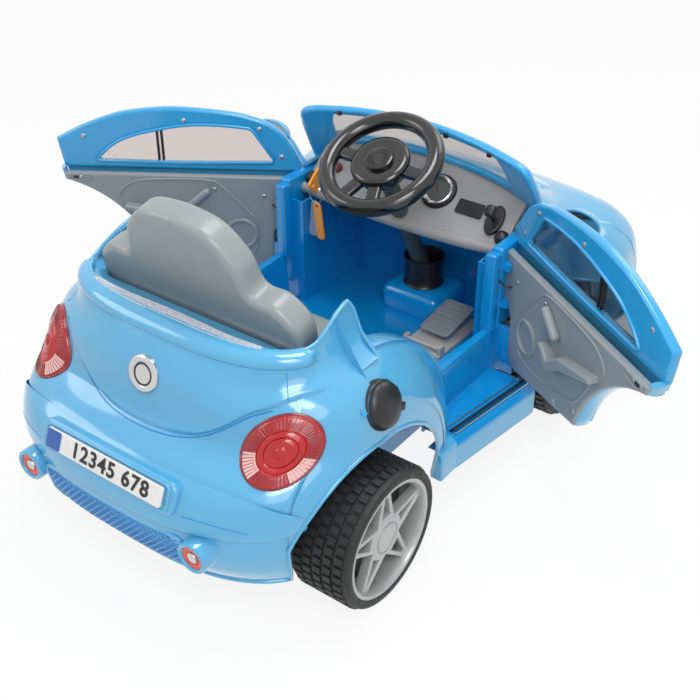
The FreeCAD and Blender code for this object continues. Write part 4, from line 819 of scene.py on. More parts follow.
class Lamp:
    """Oval lens that meets the skin of a body end along its rim."""

    segments = 72

    def __init__(self, end, centre, normal, halves, turn):
        self.base = facing(centre, normal)
        self.normal = Vector(normal).normalized()
        self.halves = halves
        self.turn = turn
        self.middle = skin_height(end, Vector(centre), self.normal)
        self.edge = [skin_height(end, self.flat(1.0, a), self.normal) for a in turns_round(self.segments)]

    def flat(self, share, angle):
        u = self.halves[0] * share * math.cos(angle)
        v = self.halves[1] * share * math.sin(angle)
        c = math.cos(self.turn)
        s = math.sin(self.turn)
        return self.base @ Vector((u * c - v * s, u * s + v * c, 0))

    def spot(self, share, angle, lift):
        place = angle / (2 * math.pi) * self.segments
        k = int(math.floor(place))
        part = place - k
        edge = self.edge[k % self.segments] * (1 - part) + self.edge[(k + 1) % self.segments] * part
        height = edge * share ** 2 + self.middle * (1 - share ** 2)
        return self.flat(share, angle) + self.normal * (height + lift)

    def lens(self, name, profile):
        """Whole lens from (radius share, lift) rings."""
        rows = [[self.spot(share, a, lift) for a in turns_round(self.segments)] for share, lift in profile]
        return outward(surface(name, rows, close_columns=True))

    def part(self, name, profile, start, stop, count):
        """Part of a lens between two shares of the way round."""
        angles = [2 * math.pi * (start + (stop - start) * t) for t in fractions(count)]
        rows = [[self.spot(share, a, lift) for a in angles] for share, lift in profile]
        return outward(surface(name, rows))

    def loop(self, name, share, lift, radius):
        path = [self.spot(share, a, lift) for a in turns_round(self.segments)]
        return sweep(name, path, radius, sides=10, closed=True)


LAMP_NORMAL = Vector((0.5, -0.78, 0.38)).normalized()
LAMP_TURN = math.radians(33)
TAIL_HALVES = (58, 42)
TAIL_PROFILE = ((1.0, -4), (1.0, 3), (0.97, 5.5), (0.92, 6.8), (0.80, 9.0), (0.62, 12.0), (0.60, 11.0),
                (0.58, 12.4), (0.44, 14.0), (0.42, 12.8), (0.40, 14.4), (0.26, 15.6), (0.17, 16.0),
                (0.15, 18.0), (0.09, 19.0), (0.002, 19.2))
RIB_PROFILE = ((0.66, 11.6), (0.80, 9.1), (0.92, 6.8), (0.985, 4.6))
PATCH_PROFILE = ((0.62, 12.9), (0.72, 11.4), (0.82, 9.6), (0.92, 7.6), (0.96, 6.3))
for side, tag in SIDES:
    normal = LAMP_NORMAL * Vector((side, 1, 1))
    lamp = Lamp(REAR, (side * 214, -424, 281), normal, TAIL_HALVES, LAMP_TURN * side)
    settle(lamp.lens(f"tail_lens_{tag}", TAIL_PROFILE), RED_LENS, "tail_lamps", crease=50)
    settle(lamp.loop(f"tail_lens_rim_{tag}", 1.01, 0.5, 2.2), DARK_RED_LENS, crease=60)
    ribs = []
    for k, angle in enumerate(turns_round(60)):
        path = [lamp.spot(share, angle, lift) for share, lift in RIB_PROFILE]
        ribs.append(sweep(f"tail_rib_{tag}_{k}", path, 0.9, sides=6))
    settle(merged(f"tail_ribs_{tag}", ribs), DARK_RED_LENS, crease=60)
    patches = []
    for n, (start, stop) in enumerate(((0.40, 0.53), (0.72, 0.85))):
        first, last = (start, stop) if side > 0 else (1.5 - stop, 1.5 - start)
        patches.append(lamp.part(f"tail_patch_{tag}_{n}", PATCH_PROFILE, first, last, 24))
    settle(merged(f"tail_patches_{tag}", patches), PINK_LENS, crease=60)


# Front body

ARCHES_FRONT = ((FRONT_AXLE_Y, WHEEL_R, 140),)
FENDER_BACK_Y = 171
COWL_Z = 394
FRONT_SIDES = (248, 244, 238, 230, 220, 210, 200, 190, 182, 176, FENDER_BACK_Y)


def front_column(degrees=None, y=None, side=1):
    """Points up one column of the front body."""
    spot = column_spot(FRONT, degrees, y, side)
    low = BASE_Z
    for _ in range(6):
        low = arch_floor(spot(low).y, ARCHES_FRONT)
    high = COWL_Z
    if degrees is None:
        high = ease([(170, 352), (200, 357), (246, 358), (249, 380), (250, COWL_Z)], y)
    return [spot(low + (high - low) * t) for t in fractions(81)]


front_turns = end_turns(FRONT, ARCHES_FRONT[0], 41)
shell("front", "front_body_shell", all_columns(front_column, front_turns, FRONT_SIDES))
for side, tag in SIDES:
    back_edge = [Vector((p.x, FENDER_BACK_Y + 0.5, p.z)) for p in front_column(y=FENDER_BACK_Y, side=side)]
    settle(sweep(f"fender_edge_{tag}", back_edge, BEAD_R, sides=10), BODY_BLUE, crease=60)
    top_edge = [front_column(y=y, side=side)[-1] for y in (FENDER_BACK_Y, 182, 200, 220, 238, 246)]
    settle(sweep(f"cowl_edge_{tag}", top_edge, BEAD_R, sides=10), BODY_BLUE, crease=60)

# Flared front fenders, out over the front wheels
FLARE_RISE = 64
FLARE_SINK = 1.5
FLARE_BACK_Y = 172
FLARE_FRONT_Y = 508
FLARE_FADE_Z = 348
FLARE_TOP_Z = 350
FLARE_ROWS = 40


def flare_lift(y, z):
    """How far the flare stands off the skin at a place on the fender."""
    along = min(soft_step((y - FLARE_BACK_Y) / 150), soft_step((FLARE_FRONT_Y - y) / 130))
    up = soft_step((FLARE_FADE_Z - z) / 95)
    down = 0.35 + 0.65 * soft_step((z - 80) / 70)
    return (FLARE_RISE + FLARE_SINK) * along * up * down - FLARE_SINK


def flare_column(degrees=None, y=None):
    """One column of the right fender flare, turned in to the skin at its lower edge."""
    low = front_column(degrees, y)[0].z
    turn = 90 if degrees is None else degrees
    column = [skin_turn(FRONT, turn, low, -2.0)]
    for t in fractions(FLARE_ROWS + 1):
        z = low + (FLARE_TOP_Z - low) * t
        along = y if degrees is None else end_point(FRONT, turn, z).y
        column.append(skin_turn(FRONT, turn, z, flare_lift(along, z)))
    if degrees is None:
        column = [spot + Vector((0, y - FRONT["start"], 0)) for spot in column]
    return column


flare_columns = [flare_column(degrees=t) for t in front_turns if t > 20]
flare_columns += [flare_column(y=y) for y in FRONT_SIDES]
settle_pair(outward(surface("fender_flare_right", flare_columns)), BODY_BLUE, 50)
flare_edge = [column[1] for column in flare_columns]
settle_pair(sweep("fender_flare_bead_right", flare_edge, 3.0, sides=10), BODY_BLUE, 50)

# Hood field and nose step, by (sideways, height) edges
HOOD_LOW = mirrored([(0, 282), (110, 288), (150, 300), (176, 330)])
HOOD_HIGH = mirrored([(0, 384), (100, 374), (150, 362), (176, 352)])
NOSE_LOW = mirrored([(0, 162), (250, 166)])
NOSE_HIGH = mirrored([(0, 212), (160, 208), (250, 196)])
settle(raised_field("hood_field", FRONT, HOOD_LOW, HOOD_HIGH, 176, 4.0, 64, 36), BODY_BLUE, crease=50)
settle(raised_field("nose_step", FRONT, NOSE_LOW, NOSE_HIGH, 250, 3.5, 80, 20), BODY_BLUE, crease=50)

# Front grille: dark recess behind a chromed rim, with bars
GRILLE_HALF = 92
grille_outline = smooth_path(
    mirrored([(0, 252), (60, 250), (96, 240)]) + [(88, 222), (0, 218), (-88, 222)], closed=True,
)
settle(sweep("grille_rim", skin_path(FRONT, grille_outline, 2.0), 3.0, closed=True), CHROME, crease=60)
bars = []
for k in range(13):
    bar = [(13 * k - 78, z) for z in (223, 232, 241, 247)]
    bars.append(sweep(f"grille_bar_{k}", skin_path(FRONT, bar, 2.2), 2.0, sides=8))
settle(merged("grille_bars", bars), BLACK, "front_grille", crease=60)
recess_high = mirrored([(0, 251), (60, 249), (GRILLE_HALF, 241)])
recess_low = mirrored([(0, 219), (GRILLE_HALF, 224)])
recess_rows = []
for s in fractions(24):
    x = GRILLE_HALF * (2 * s - 1)
    top = ease(recess_high, x)
    low = ease(recess_low, x)
    recess_rows.append(skin_path(FRONT, [(x, low + (top - low) * t) for t in fractions(6)], 0.8))
settle(outward(surface("grille_field", recess_rows)), BLACK, crease=60)

# Headlamps under brows of the fenders
HEAD_HALVES = (46, 44)
HEAD_PROFILE = ((1.0, -4), (1.0, 8), (0.96, 10), (0.9, 11.5), (0.75, 14), (0.5, 16.5), (0.25, 17.8),
                (0.002, 18))
BROW_PROFILE = ((1.75, -4), (1.6, 7), (1.42, 15), (1.25, 21), (1.1, 24), (1.0, 24), (0.95, 21), (0.95, 14),
                (1.0, 4))
for side, tag in SIDES:
    lamp = Lamp(FRONT, (side * 203, 484, 250), (side * 0.43, 0.74, 0.52), HEAD_HALVES, 0)
    settle(lamp.lens(f"head_lens_{tag}", HEAD_PROFILE), HEAD_LENS, "headlamps", crease=60)
    settle(lamp.loop(f"head_ring_{tag}", 0.55, 16.0, 1.6), CHROME, crease=60)
    settle(lamp.loop(f"head_rim_{tag}", 0.99, 8.5, 2.6), CHROME, crease=60)
    settle(lamp.part(f"head_brow_{tag}", BROW_PROFILE, -0.06, 0.56, 60), BODY_BLUE, crease=60)

# Rear ledge and crescent insert
LEDGE_Z = 384
LEDGE_REACH = 84
LEDGE_DEPTH = 62
ledge_rows = []
for t in fractions(61):
    turn = LEDGE_REACH * (2 * t - 1)
    edge = end_point(REAR, turn, LEDGE_Z)
    front = edge.y + LEDGE_DEPTH * math.cos(math.radians(turn)) ** 0.5
    front = min(max(front, -372 if abs(turn) < 60 else -380), -352)
    inner = Vector((edge.x * 0.80, front, 374))
    ledge_rows.append([
        edge + (inner - edge) * s + Vector((0, 0, 1.5 * math.sin(math.pi * s))) for s in fractions(8)
    ])
settle(thicken(outward(surface("rear_ledge", ledge_rows)), SKIN), BODY_BLUE, crease=50)
INSERT_REACH = 46
INSERT_INSET = 5
INSERT_WIDTH = 26
INSERT_RISE = 10


def insert_spot(t, across, lift=0.0):
    """Point of the crescent insert: t runs along the lip, across runs from the lip towards the seat."""
    edge = end_point(REAR, INSERT_REACH * (2 * t - 1), LEDGE_Z)
    inward = Vector((-0.25 * edge.x, 40, -6)).normalized()
    width = INSERT_WIDTH * max(math.sin(math.pi * t), 0.02) ** 0.6
    return edge + inward * (INSERT_INSET + width * across) + Vector((0, 0, INSERT_RISE + lift))


insert_rows = [[insert_spot(t, across) for across in fractions(6)] for t in fractions(60)]
insert = thicken(outward(surface("rear_insert", insert_rows)), 8)
settle(insert, INSERT_SILVER, "rear_window_insert", crease=50)
lines = []
for k in range(5):
    path = [insert_spot(t, 0.14 + 0.18 * k, 0.4) for t in fractions(40)[2:-2]]
    lines.append(sweep(f"insert_line_{k}", path, 0.9, sides=6))
settle(merged("rear_insert_lines", lines), INSERT_SILVER, crease=60)

# Exhaust tubes and the mesh between them
EXHAUST_X = 159
EXHAUST_Y = -551
EXHAUST_Z = 154
EXHAUST_PROFILES = (
    ("exhaust_tubes", BODY_BLUE, "exhaust_tips",
     ((17, -3), (18, 0), (21, 1.5), (23.5, 0), (24.5, -4), (24.5, -40), (17, -40), (17, -3))),
    ("exhaust_discs", EXHAUST_ORANGE, "exhaust_inserts",
     ((0, -4), (10, -4), (12, -2), (17, -2), (17, -12), (0, -12))),
    ("exhaust_caps", CHROME, None, ((0, 1), (4, 0.5), (8, -1.5), (9, -4), (0, -4))),
)
for name, look, node, profile in EXHAUST_PROFILES:
    parts = []
    for side in (-1, 1):
        base = facing((side * EXHAUST_X, EXHAUST_Y, EXHAUST_Z), (0, -1, 0))
        parts.append(lathe(f"{name}_{side}", profile, base))
    settle(merged(name, parts), look, node)
MESH_LOW = 110
MESH_HIGH = 162
MESH_HALF = 131
MESH_PITCH = 11
MESH_LEAN = 26
mesh_bars = []
for lean in (1, -1):
    for k in range(-14, 15):
        spots = []
        for t in fractions(8):
            x = k * MESH_PITCH + lean * MESH_LEAN * (2 * t - 1)
            if abs(x) < MESH_HALF:
                spots.append(skin_point(REAR, x, MESH_LOW + (MESH_HIGH - MESH_LOW) * t, 0.6))
        if len(spots) > 2:
            mesh_bars.append(sweep(f"mesh_{lean}_{k}", spots, 1.5, sides=6))
# The mesh bars take the darker copy of the body blue, painted shade of the moulded mesh
settle(merged("rear_mesh", mesh_bars), MESH_SHADE_BLUE, crease=60)
frame_path = skin_path(REAR, rounded_rectangle(-133, 106, 133, 166, 12), 1.0)
settle(sweep("rear_mesh_frame", frame_path, 3.0, closed=True), BODY_BLUE, crease=60)


# Cabin

SILL_BACK_Y = -103
SILL_FRONT_Y = 98
SILL_FLARE = 22
ROCKER_START = 24


def sill_share(y):
    return (y - SILL_BACK_Y) / (SILL_FRONT_Y - SILL_BACK_Y)


def sill_trace(y):
    """Rounded section of the right sill at one place along it; a corner is (sideways, height, radius)."""
    lean = 0.6 * SILL_FLARE * sill_share(y)
    out = 1.2 * SILL_FLARE * sill_share(y)
    corners = [
        (191.5 + lean, 100, 0), (199.5 + lean, 200.5, 7), (224.6, 200.5, 7), (228.6, 126, 5),
        (276 + out, 126, 8), (288.6 + out, 114, 8), (288.8 + out, 72, 0),
    ]
    trace = []
    for k, (x, z, radius) in enumerate(corners):
        if not radius:
            trace.append((x, z))
            continue
        here = np.array((x, z), float)
        back = np.array(corners[k - 1][:2], float) - here
        ahead = np.array(corners[k + 1][:2], float) - here
        start = here + back / np.linalg.norm(back) * radius
        end = here + ahead / np.linalg.norm(ahead) * radius
        for t in fractions(7):
            trace.append(tuple((1 - t) ** 2 * start + 2 * t * (1 - t) * here + t * t * end))
    return [(x, y, z) for x, z in trace]


sill_rows = [sill_trace(SILL_BACK_Y + (SILL_FRONT_Y - SILL_BACK_Y) * t) for t in fractions(20)]
for name, look, part in (
    ("sill_cover_right", CABIN_BLUE, slice(0, ROCKER_START + 1)),
    ("rocker_cover_right", BODY_BLUE, slice(ROCKER_START, None)),
):
    settle_pair(outward(surface(name, [row[part] for row in sill_rows])), look, 60)

STRIP_HALF = 10
STRIP_X = 266.5
STRIP_Z = 127.3
STRIP_BACK_Y = -91
STRIP_LENGTH = 187
strips = []
strip_edges = []
for side in (1, -1):
    run = []
    for t in fractions(16):
        y = STRIP_BACK_Y + STRIP_LENGTH * t
        run.append((side * (STRIP_X + 1.2 * SILL_FLARE * sill_share(y)), y, STRIP_Z))
    strips.append(sweep(f"strip_{side}", run, STRIP_HALF, sides=16, flat=0.2))
    for shift in (0.4 - STRIP_HALF, STRIP_HALF - 0.4):
        edge = [(x + shift, y, z) for x, y, z in run]
        strip_edges.append(sweep(f"strip_edge_{side}_{shift}", edge, 1.3, sides=8))
settle(merged("sill_strips", strips), BLACK, "sill_trim", crease=60)
settle(merged("sill_strip_edges", strip_edges), CHROME, crease=60)

# Door jamb bands behind the openings, by (sideways, radius) across the band
JAMB_SECTION = ((200, 255.8), (206, JAMB_R), (JAMB_X, JAMB_R), (231, 254), (232.8, 250), (232.8, 236))
jambs = []
for side in (1, -1):
    rows = []
    for t in fractions(40):
        turn = math.radians(6 + 78 * t)
        rows.append([
            (side * x, JAMB_Y + radius * math.cos(turn), JAMB_Z + radius * math.sin(turn))
            for x, radius in JAMB_SECTION
        ])
    jambs.append(outward(surface(f"jamb_{side}", rows)))
settle(merged("door_jambs", jambs), BODY_BLUE, crease=45)

# Hinge posts, cowl sides and jamb feet: right-hand box corners, edge radius and its segments
POST_BOXES = (
    ("post", (205, 91, 196), (227, 115, 338), 6, 4),
    ("cowl_side", (207, 108, 196), (229, 236, 345), 6, 4),
    ("jamb_foot", (226, 111, 118), (261, 116.5, 206), 1.5, 3),
)
posts = []
for side in (1, -1):
    for name, low, high, edge, segments in POST_BOXES:
        low_x, high_x = sorted((side * low[0], side * high[0]))
        ends = ((low_x, *low[1:]), (high_x, *high[1:]))
        posts.append(block(f"{name}_{side}", *ends, edge, segments=segments))
settle(merged("hinge_posts", posts), CABIN_BLUE, crease=60)
boss_outline = rounded_rectangle(-46, -104, 40, 20, 26, steps=8)
settle(plate("floor_boss", [boss_outline], axes((0, 60, 101), (1, 0, 0), (0, 1, 0)), 9, 4), CABIN_BLUE)


# Seat

BACK_LEAN = math.tan(math.radians(14.5))
SEAT_Z = 232
BACK_SLOPE = Vector((0, -BACK_LEAN, 1)).normalized()
BACK_BASE = axes((0, -262 + SEAT_Z * BACK_LEAN, 0), (1, 0, 0), BACK_SLOPE)
CLOUD = ((0, 542), (60, 532), (98, 494), (112, 450), (150, 446), (180, 420), (184, 384), (172, 340),
         (172, 270), (172, 190))
cloud_right = smooth_path(CLOUD)
cloud_outline = cloud_right + [(-x, z) for x, z in reversed(cloud_right[1:])]
seat_parts = [
    plate("seat_back", [[(x, z / BACK_SLOPE.z) for x, z in cloud_outline]], BACK_BASE, 45, 11, rounds=7),
    block("seat_cushion", (-176, -300, 152), (176, -64, SEAT_Z), 20, segments=6),
]
BOLSTER = ((160, -76, 226), (160, -150, 231), (158, -230, 236), (152, -275, 262), (148, -300, 330))
for side in (-1, 1):
    path = smooth_path([(side * x, y, z) for x, y, z in BOLSTER], steps=6)
    seat_parts.append(sweep(f"bolster_{side}", path, lambda t: 9 + 4 * math.sin(math.pi * t), flat=0.8))
settle(merged("seat_moulding", seat_parts), SEAT_GREY, "seat", crease=50)
ridge = [(x * 0.86, SEAT_Z + (z - SEAT_Z) * 0.90 + 6) for x, z in cloud_outline if z > 250]
ridge_path = [BACK_BASE @ Vector((x, z / BACK_SLOPE.z, -0.4)) for x, z in ridge]
settle(sweep("seat_back_ridge", ridge_path, 2.2, sides=8), SEAT_GREY, crease=60)


# Wheels

WHEEL_X = 273
TREAD_RIBS = 5
TREAD_COUNT = 44
CARCASS = ((90, 48), (94, 50), (100, 50), (104.5, 48), (106.02, 44), (105.4, 38), (105.4, -38),
           (106.02, -44), (104.5, -48), (100, -50), (94, -50), (90, -48))
RIM_RING = ((84, 30), (84, 44), (86, 48), (89, 49.5), (91.5, 48.5), (91.5, 40), (90.5, -46), (84, -46),
            (84, 30))
RIM_HUB = ((0, 43.5), (20, 43.2), (22, 42), (22.6, 39.6), (24, 39.6), (25, 41.5), (31, 41), (33, 39),
           (33, 24), (0, 24))
RIM_DISH = ((0, 14), (60, 10), (84, 4), (84, 0), (0, 0))
ARM_EDGE = ((33, -18), (60, -12), (87, -7.5), (87, 7.5), (60, 12), (33, 18))
ARM_SLOT = ((36, -10.5), (60, -5.2), (79, -0.8), (79, 0.8), (60, 5.2), (36, 10.5))


def tread_blocks(name, centre):
    """Raised blocks in staggered ribs round a tyre."""
    work = bmesh.new()
    half = math.pi / TREAD_COUNT * 0.74
    for rib in range(TREAD_RIBS):
        side = -34 + 17 * rib
        for k in range(TREAD_COUNT):
            middle = 2 * math.pi * (k + 0.5 * (rib % 2)) / TREAD_COUNT
            corners = []
            for radius, shrink in ((105.5, 1.0), (108.9, 0.86)):
                for along in (-1, 1):
                    turn = middle + half * shrink * along
                    y = radius * math.cos(turn)
                    z = radius * math.sin(turn)
                    for across in (-1, 1):
                        spot = Vector((side + 6.9 * across * shrink, y, z))
                        corners.append(work.verts.new(spot * MM))
            for quad in ((4, 5, 7, 6), (0, 1, 5, 4), (2, 6, 7, 3), (0, 4, 6, 2), (1, 3, 7, 5)):
                work.faces.new([corners[i] for i in quad])
    bmesh.ops.recalc_face_normals(work, faces=work.faces)
    return worked_object(name, work, Matrix.Translation(centre))


def arm_spot(turn, along, across):
    """Place beside the middle line of a rim arm."""
    return (
        along * math.cos(turn) - across * math.sin(turn),
        along * math.sin(turn) + across * math.cos(turn),
    )


def star_outlines():
    """Outline of a five-armed rim star, then a slot for each arm."""
    outer = []
    slots = []
    for arm in range(5):
        middle = math.radians(90 + 72 * arm)
        outer += [arm_spot(middle, along, across) for along, across in ARM_EDGE]
        outer.append(arm_spot(middle + math.radians(36), 33, 0))
        slots.append([arm_spot(middle, along, across) for along, across in ARM_SLOT])
    return [outer] + slots


def wheel(tag, side, axle_y):
    """Tyre and rim of one wheel."""
    body = f"wheel_{tag}"
    centre = Vector((side * WHEEL_X, axle_y, WHEEL_R))
    base = axes(centre, (0, side, 0), (0, 0, 1))
    carcass = lathe(f"carcass_{tag}", CARCASS, base, segments=96, filled=False)
    tyre = merged(f"tyre_{tag}_rubber", [carcass, tread_blocks(f"blocks_{tag}", centre)])
    settle(tyre, TYRE_BLACK, f"tyre_{tag}", body, crease=40)
    ring = lathe(f"ring_{tag}", RIM_RING, base, segments=96)
    star = plate(f"star_{tag}", star_outlines(), base, 16, 2.2, 24)
    hub = lathe(f"hub_{tag}", RIM_HUB, base)
    dish = lathe(f"dish_{tag}", RIM_DISH, base)
    settle(merged(f"rim_{tag}_wheel", [ring, star, hub]), RIM_SILVER, f"rim_{tag}", body)
    settle(dish, BLACK, body=body, crease=40)


for end_tag, axle_y in (("rear", REAR_AXLE_Y), ("front", FRONT_AXLE_Y)):
    for side, tag in SIDES:
        wheel(f"{end_tag}_{tag}", side, axle_y)


# Doors: built shut on the right side, swung open with the hinge, then mirrored

HINGE = Vector((243, 126, 0))
OPEN_ANGLE = math.radians(56)
SWING = turned_about_z(Matrix.Translation(HINGE), OPEN_ANGLE) @ Matrix.Translation(-HINGE)
DOOR_BASE = SWING @ axes((257, 157, 0), (0, -1, 0), (0, 0, 1))
PANEL_FACE = 22.6


def door_path(points, inward):
    """Row-frame points of (along, up) places on the right door, inward of its skin line."""
    return [DOOR_BASE @ Vector((u, z, inward)) for u, z in points]


def door_base(u, z, inward):
    return DOOR_BASE @ Matrix.Translation((u, z, inward))


def on_door(obj, look, node=None, crease=35):
    """Settle a right-door piece and its mirrored copy on the left door."""
    twin = mirror_copy(obj, obj.name + "_left")
    obj.name = obj.name + "_right"
    for piece, tag in ((obj, "right"), (twin, "left")):
        settle(piece, look, f"{node}_{tag}" if node else None, f"door_{tag}", crease)
    return twin


ARC_U = 483
ARC_Z = 109
ARC_R = 226
lower_arc = []
for t in fractions(19):
    turn = math.radians(106 + 60 * t)
    lower_arc.append((ARC_U + ARC_R * math.cos(turn), ARC_Z + ARC_R * math.sin(turn)))
door_top = smooth_path([(-8, 338), (2, 372), (24, 408), (48, 428), (80, 440), (110, 447), (163, 453),
                        (227, 456), (290, 450), (331, 441), (384, 421), (434, 396)])
front_curve = smooth_path([(66, 137), (62, 190), (40, 230), (-8, 246)])
lower_outline = [(426, 345)] + lower_arc + front_curve
window_top = smooth_path([(364, 359), (332, 387), (290, 406), (206, 424), (140, 426), (84, 421)])
window_outline = window_top + [(77, 415), (42, 362), (45, 356), (206, 353), (358, 355)]
frame_outline = door_top + [(430, 366), (426, 341), (-8, 338)]
panel_outline = [(10, 244), (8, 336), (424, 340)] + [(u, z) for u, z in lower_arc if u < 424]
panel_outline += [(72, 140), (46, 150), (44, 226), (36, 240)]

door_frame = plate("door_frame", [frame_outline, window_outline], DOOR_BASE, 16, 5, -15, rounds=4)
on_door(door_frame, DOOR_BLUE, "door_outer")
on_door(plate("door_skin", [lower_outline + [(-8, 338)]], DOOR_BASE, 8, 3, -14), BODY_BLUE)
on_door(sweep("door_wall", door_path(lower_outline, 6), 13, flat=0.32), BODY_BLUE, crease=60)
panel = plate("door_inner_panel", [panel_outline], DOOR_BASE, 14, 4, 9, rounds=4)
on_door(panel, PANEL_GREY, "door_panel")
# The right pane takes the darker smoke copy, a painted reflection; the left pane keeps the plain smoke tint
left_pane = on_door(plate("door_pane", [window_outline], DOOR_BASE, 3, 0.5, -10), SMOKE_PAINTED_REFLECTION, "door_window")
dress(left_pane, SMOKE)
on_door(sweep("door_pane_edge", door_path(window_outline, 1), 3.0, closed=True), DOOR_BLUE, crease=60)
dividers = [block(f"divider_{u}", (u, 355, -12), (u + 4, 414, -4), 0.8, DOOR_BASE) for u in (242, 250)]
on_door(merged("door_divider", dividers), BLACK)
POCKET = ((74, 245), (90, 268), (140, 321), (160, 329), (200, 331), (280, 328), (312, 316), (324, 296),
          (300, 268), (268, 214), (236, 196), (150, 178), (96, 178), (76, 200))
pocket_path = door_path(smooth_path(POCKET, closed=True, steps=6), PANEL_FACE)
on_door(sweep("door_pocket", pocket_path, 2.2, sides=8, closed=True), PANEL_GREY, crease=60)
SPEAKER = ((24, 0), (24, 3), (26, 4.5), (29, 4.5), (31, 3), (31, 0))
on_door(lathe("door_speaker", SPEAKER, door_base(104, 224, 22.5)), PANEL_GREY)
handle = block("door_handle", (-7, -28, 0), (7, 28, 15), 6, turned_about_z(door_base(180, 296, 22), 0.88))
on_door(handle, PANEL_GREY, crease=50)
ARMREST = ((164, 256), (176, 262), (196, 243), (226, 266), (312, 286), (316, 278), (234, 248), (196, 224),
           (184, 232))
on_door(plate("door_armrest", [ARMREST], DOOR_BASE, 22, 4, 20), PANEL_GREY)
LOW_SCREW = ((0, 2.2), (2.6, 2.0), (4.2, 0.6), (4.2, 0))
HIGH_SCREW = ((0, 2.4), (2.6, 2.2), (4.4, 0.8), (4.4, 0))
LOW_SCREW_SPOTS = ((60, 300), (150, 312), (262, 190), (205, 168), (392, 332))
HIGH_SCREW_SPOTS = ((28, 368), (66, 420), (200, 434), (384, 402))
screws = [lathe(f"screw_{u}", LOW_SCREW, door_base(u, z, PANEL_FACE), 20) for u, z in LOW_SCREW_SPOTS]
screws += [lathe(f"screw_{u}", HIGH_SCREW, door_base(u, z, 0.8), 20) for u, z in HIGH_SCREW_SPOTS]
on_door(merged("door_screw_heads", screws), STEEL, "door_screws")
latch_path = door_path(rounded_rectangle(372, 326, 412, 337, 5), 23.2)
on_door(sweep("door_latch_rim", latch_path, 1.5, sides=8, closed=True), PANEL_GREY, crease=60)
on_door(plate("door_latch", [rounded_rectangle(390, 329, 406, 334, 2)], DOOR_BASE, 1.5, 0.4, 22.4), BLACK)

# Door check cords
for side, tag in SIDES:
    start = Vector((227.9 * side, 104, 292))
    end = DOOR_BASE @ Vector((46, 284, 23.9))
    end.x *= side
    sag = (start + end) / 2 + Vector((0, 0, -5))
    cord = sweep(f"check_cord_{tag}_line", smooth_path([start, sag, end], steps=12), 1.6, sides=8)
    dress(cord, BLACK, 60)
    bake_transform(cord)
    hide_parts(f"check_cord_{tag}")


# Windshield

SHIELD_TOP_Y = 206
SHIELD_TOP_Z = 470
SHIELD_RAKE = 0.6
SHIELD_BOW = 56
SHIELD_HALF = 256
PILLAR_WIDTH = 52
PILLAR_LOW_Z = 345
PILLAR_RISE = 105


def shield_spot(x, z, out=0.0):
    """Point of the raked and bowed windshield surface."""
    y = SHIELD_TOP_Y + (SHIELD_TOP_Z - z) * SHIELD_RAKE - SHIELD_BOW * (x / SHIELD_HALF) ** 2
    return Vector((x, y - out, z))


HOOP_SIDE = [(214, 452), (226, 429), (232, 387), (236, 338)]
hoop = smooth_path(mirrored([(0, 470), (105, 466), (160, 461)] + HOOP_SIDE))
foot = smooth_path(mirrored([(0, 402), (118, 399), (189, 392), (219, 382), (234, 350)]))
surround = [
    sweep("windshield_hoop", [shield_spot(x, z) for x, z in hoop], 10, sides=16, flat=0.75),
    sweep("windshield_foot", [shield_spot(x, z) for x, z in foot], 8, sides=14),
]
pillar_edge = [(z, x) for x, z in reversed(HOOP_SIDE)]
for side in (-1, 1):
    rows = []
    for t in fractions(14):
        z = PILLAR_LOW_Z + PILLAR_RISE * t
        outer_x = ease(pillar_edge, z)
        rows.append([
            shield_spot(side * (outer_x - PILLAR_WIDTH * s), z + 8 * s * t, 5) for s in fractions(9)
        ])
    surround.append(thicken(outward(surface(f"pillar_panel_{side}", rows)), 4))
settle(merged("windshield_surround", surround), DOOR_BLUE, "windshield_frame", crease=50)
PANE_HALF = 214
pane_high = mirrored([(0, 465), (105, 461), (160, 456), (PANE_HALF, 440)])
pane_low = mirrored([(0, 403), (118, 400), (189, 393), (PANE_HALF, 386)])
pane_rows = []
for s in fractions(41):
    x = PANE_HALF * (2 * s - 1)
    top = ease(pane_high, x)
    low = ease(pane_low, x)
    pane_rows.append([shield_spot(x, low + (top - low) * t) for t in fractions(8)])
shield_pane = thicken(outward(surface("windshield_glass", pane_rows)), 3, offset=0)
# The windshield takes the greyer smoke copy, painted reflection over its own smoke tint
settle(shield_pane, SMOKE_SHIELD_REFLECTION, "windshield_pane", crease=50)
clips = []
for x, z in ((-150, 463), (-60, 469), (60, 469), (150, 463)):
    clips.append(block(f"clip_{x}", (-4, -12, -7), (4, -5, 1), 1.5, Matrix.Translation(shield_spot(x, z))))
settle(merged("windshield_clips", clips), BLACK)


# Mirrors

MIRROR_X = 312
MIRROR_Y = 200
MIRROR_Z = 382
MIRROR_BACK = 8
MIRROR_DEPTH = 24
STALK = ((252, 212, 318), (268, 210, 338), (286, 208, 364), (300, 206, 376))
housings = []
glasses = []
for side in (1, -1):
    centre = Vector((side * MIRROR_X, MIRROR_Y, MIRROR_Z))
    rows = []
    for t in fractions(14):
        shrink = math.sqrt(max(0.0, 1 - (0.98 * t) ** 2))
        ring = oval_outline(37 * shrink, 23 * shrink)
        rows.append([centre + Vector((x, MIRROR_DEPTH * t - MIRROR_BACK, z)) for x, z in ring])
    housings.append(outward(surface(f"housing_{side}", rows, close_columns=True)))
    rim = [centre + Vector((x, -MIRROR_BACK - 0.5, z)) for x, z in oval_outline(36, 22)]
    housings.append(sweep(f"housing_rim_{side}", rim, 2.6, closed=True))
    stalk = smooth_path([(side * x, y, z) for x, y, z in STALK], steps=6)
    housings.append(sweep(f"stalk_{side}", stalk, lambda t: 10 - 3 * t, sides=14))
    glass_base = facing(centre + Vector((0, -MIRROR_BACK, 0)), (0, -1, 0))
    glasses.append(plate(f"glass_{side}", [oval_outline(35, 21)], glass_base, 2, 0.5))
settle(merged("mirror_shells", housings), BODY_BLUE, "mirror_housings", crease=50)
settle(merged("mirror_faces", glasses), MIRROR, "mirror_glasses")


# Dashboard

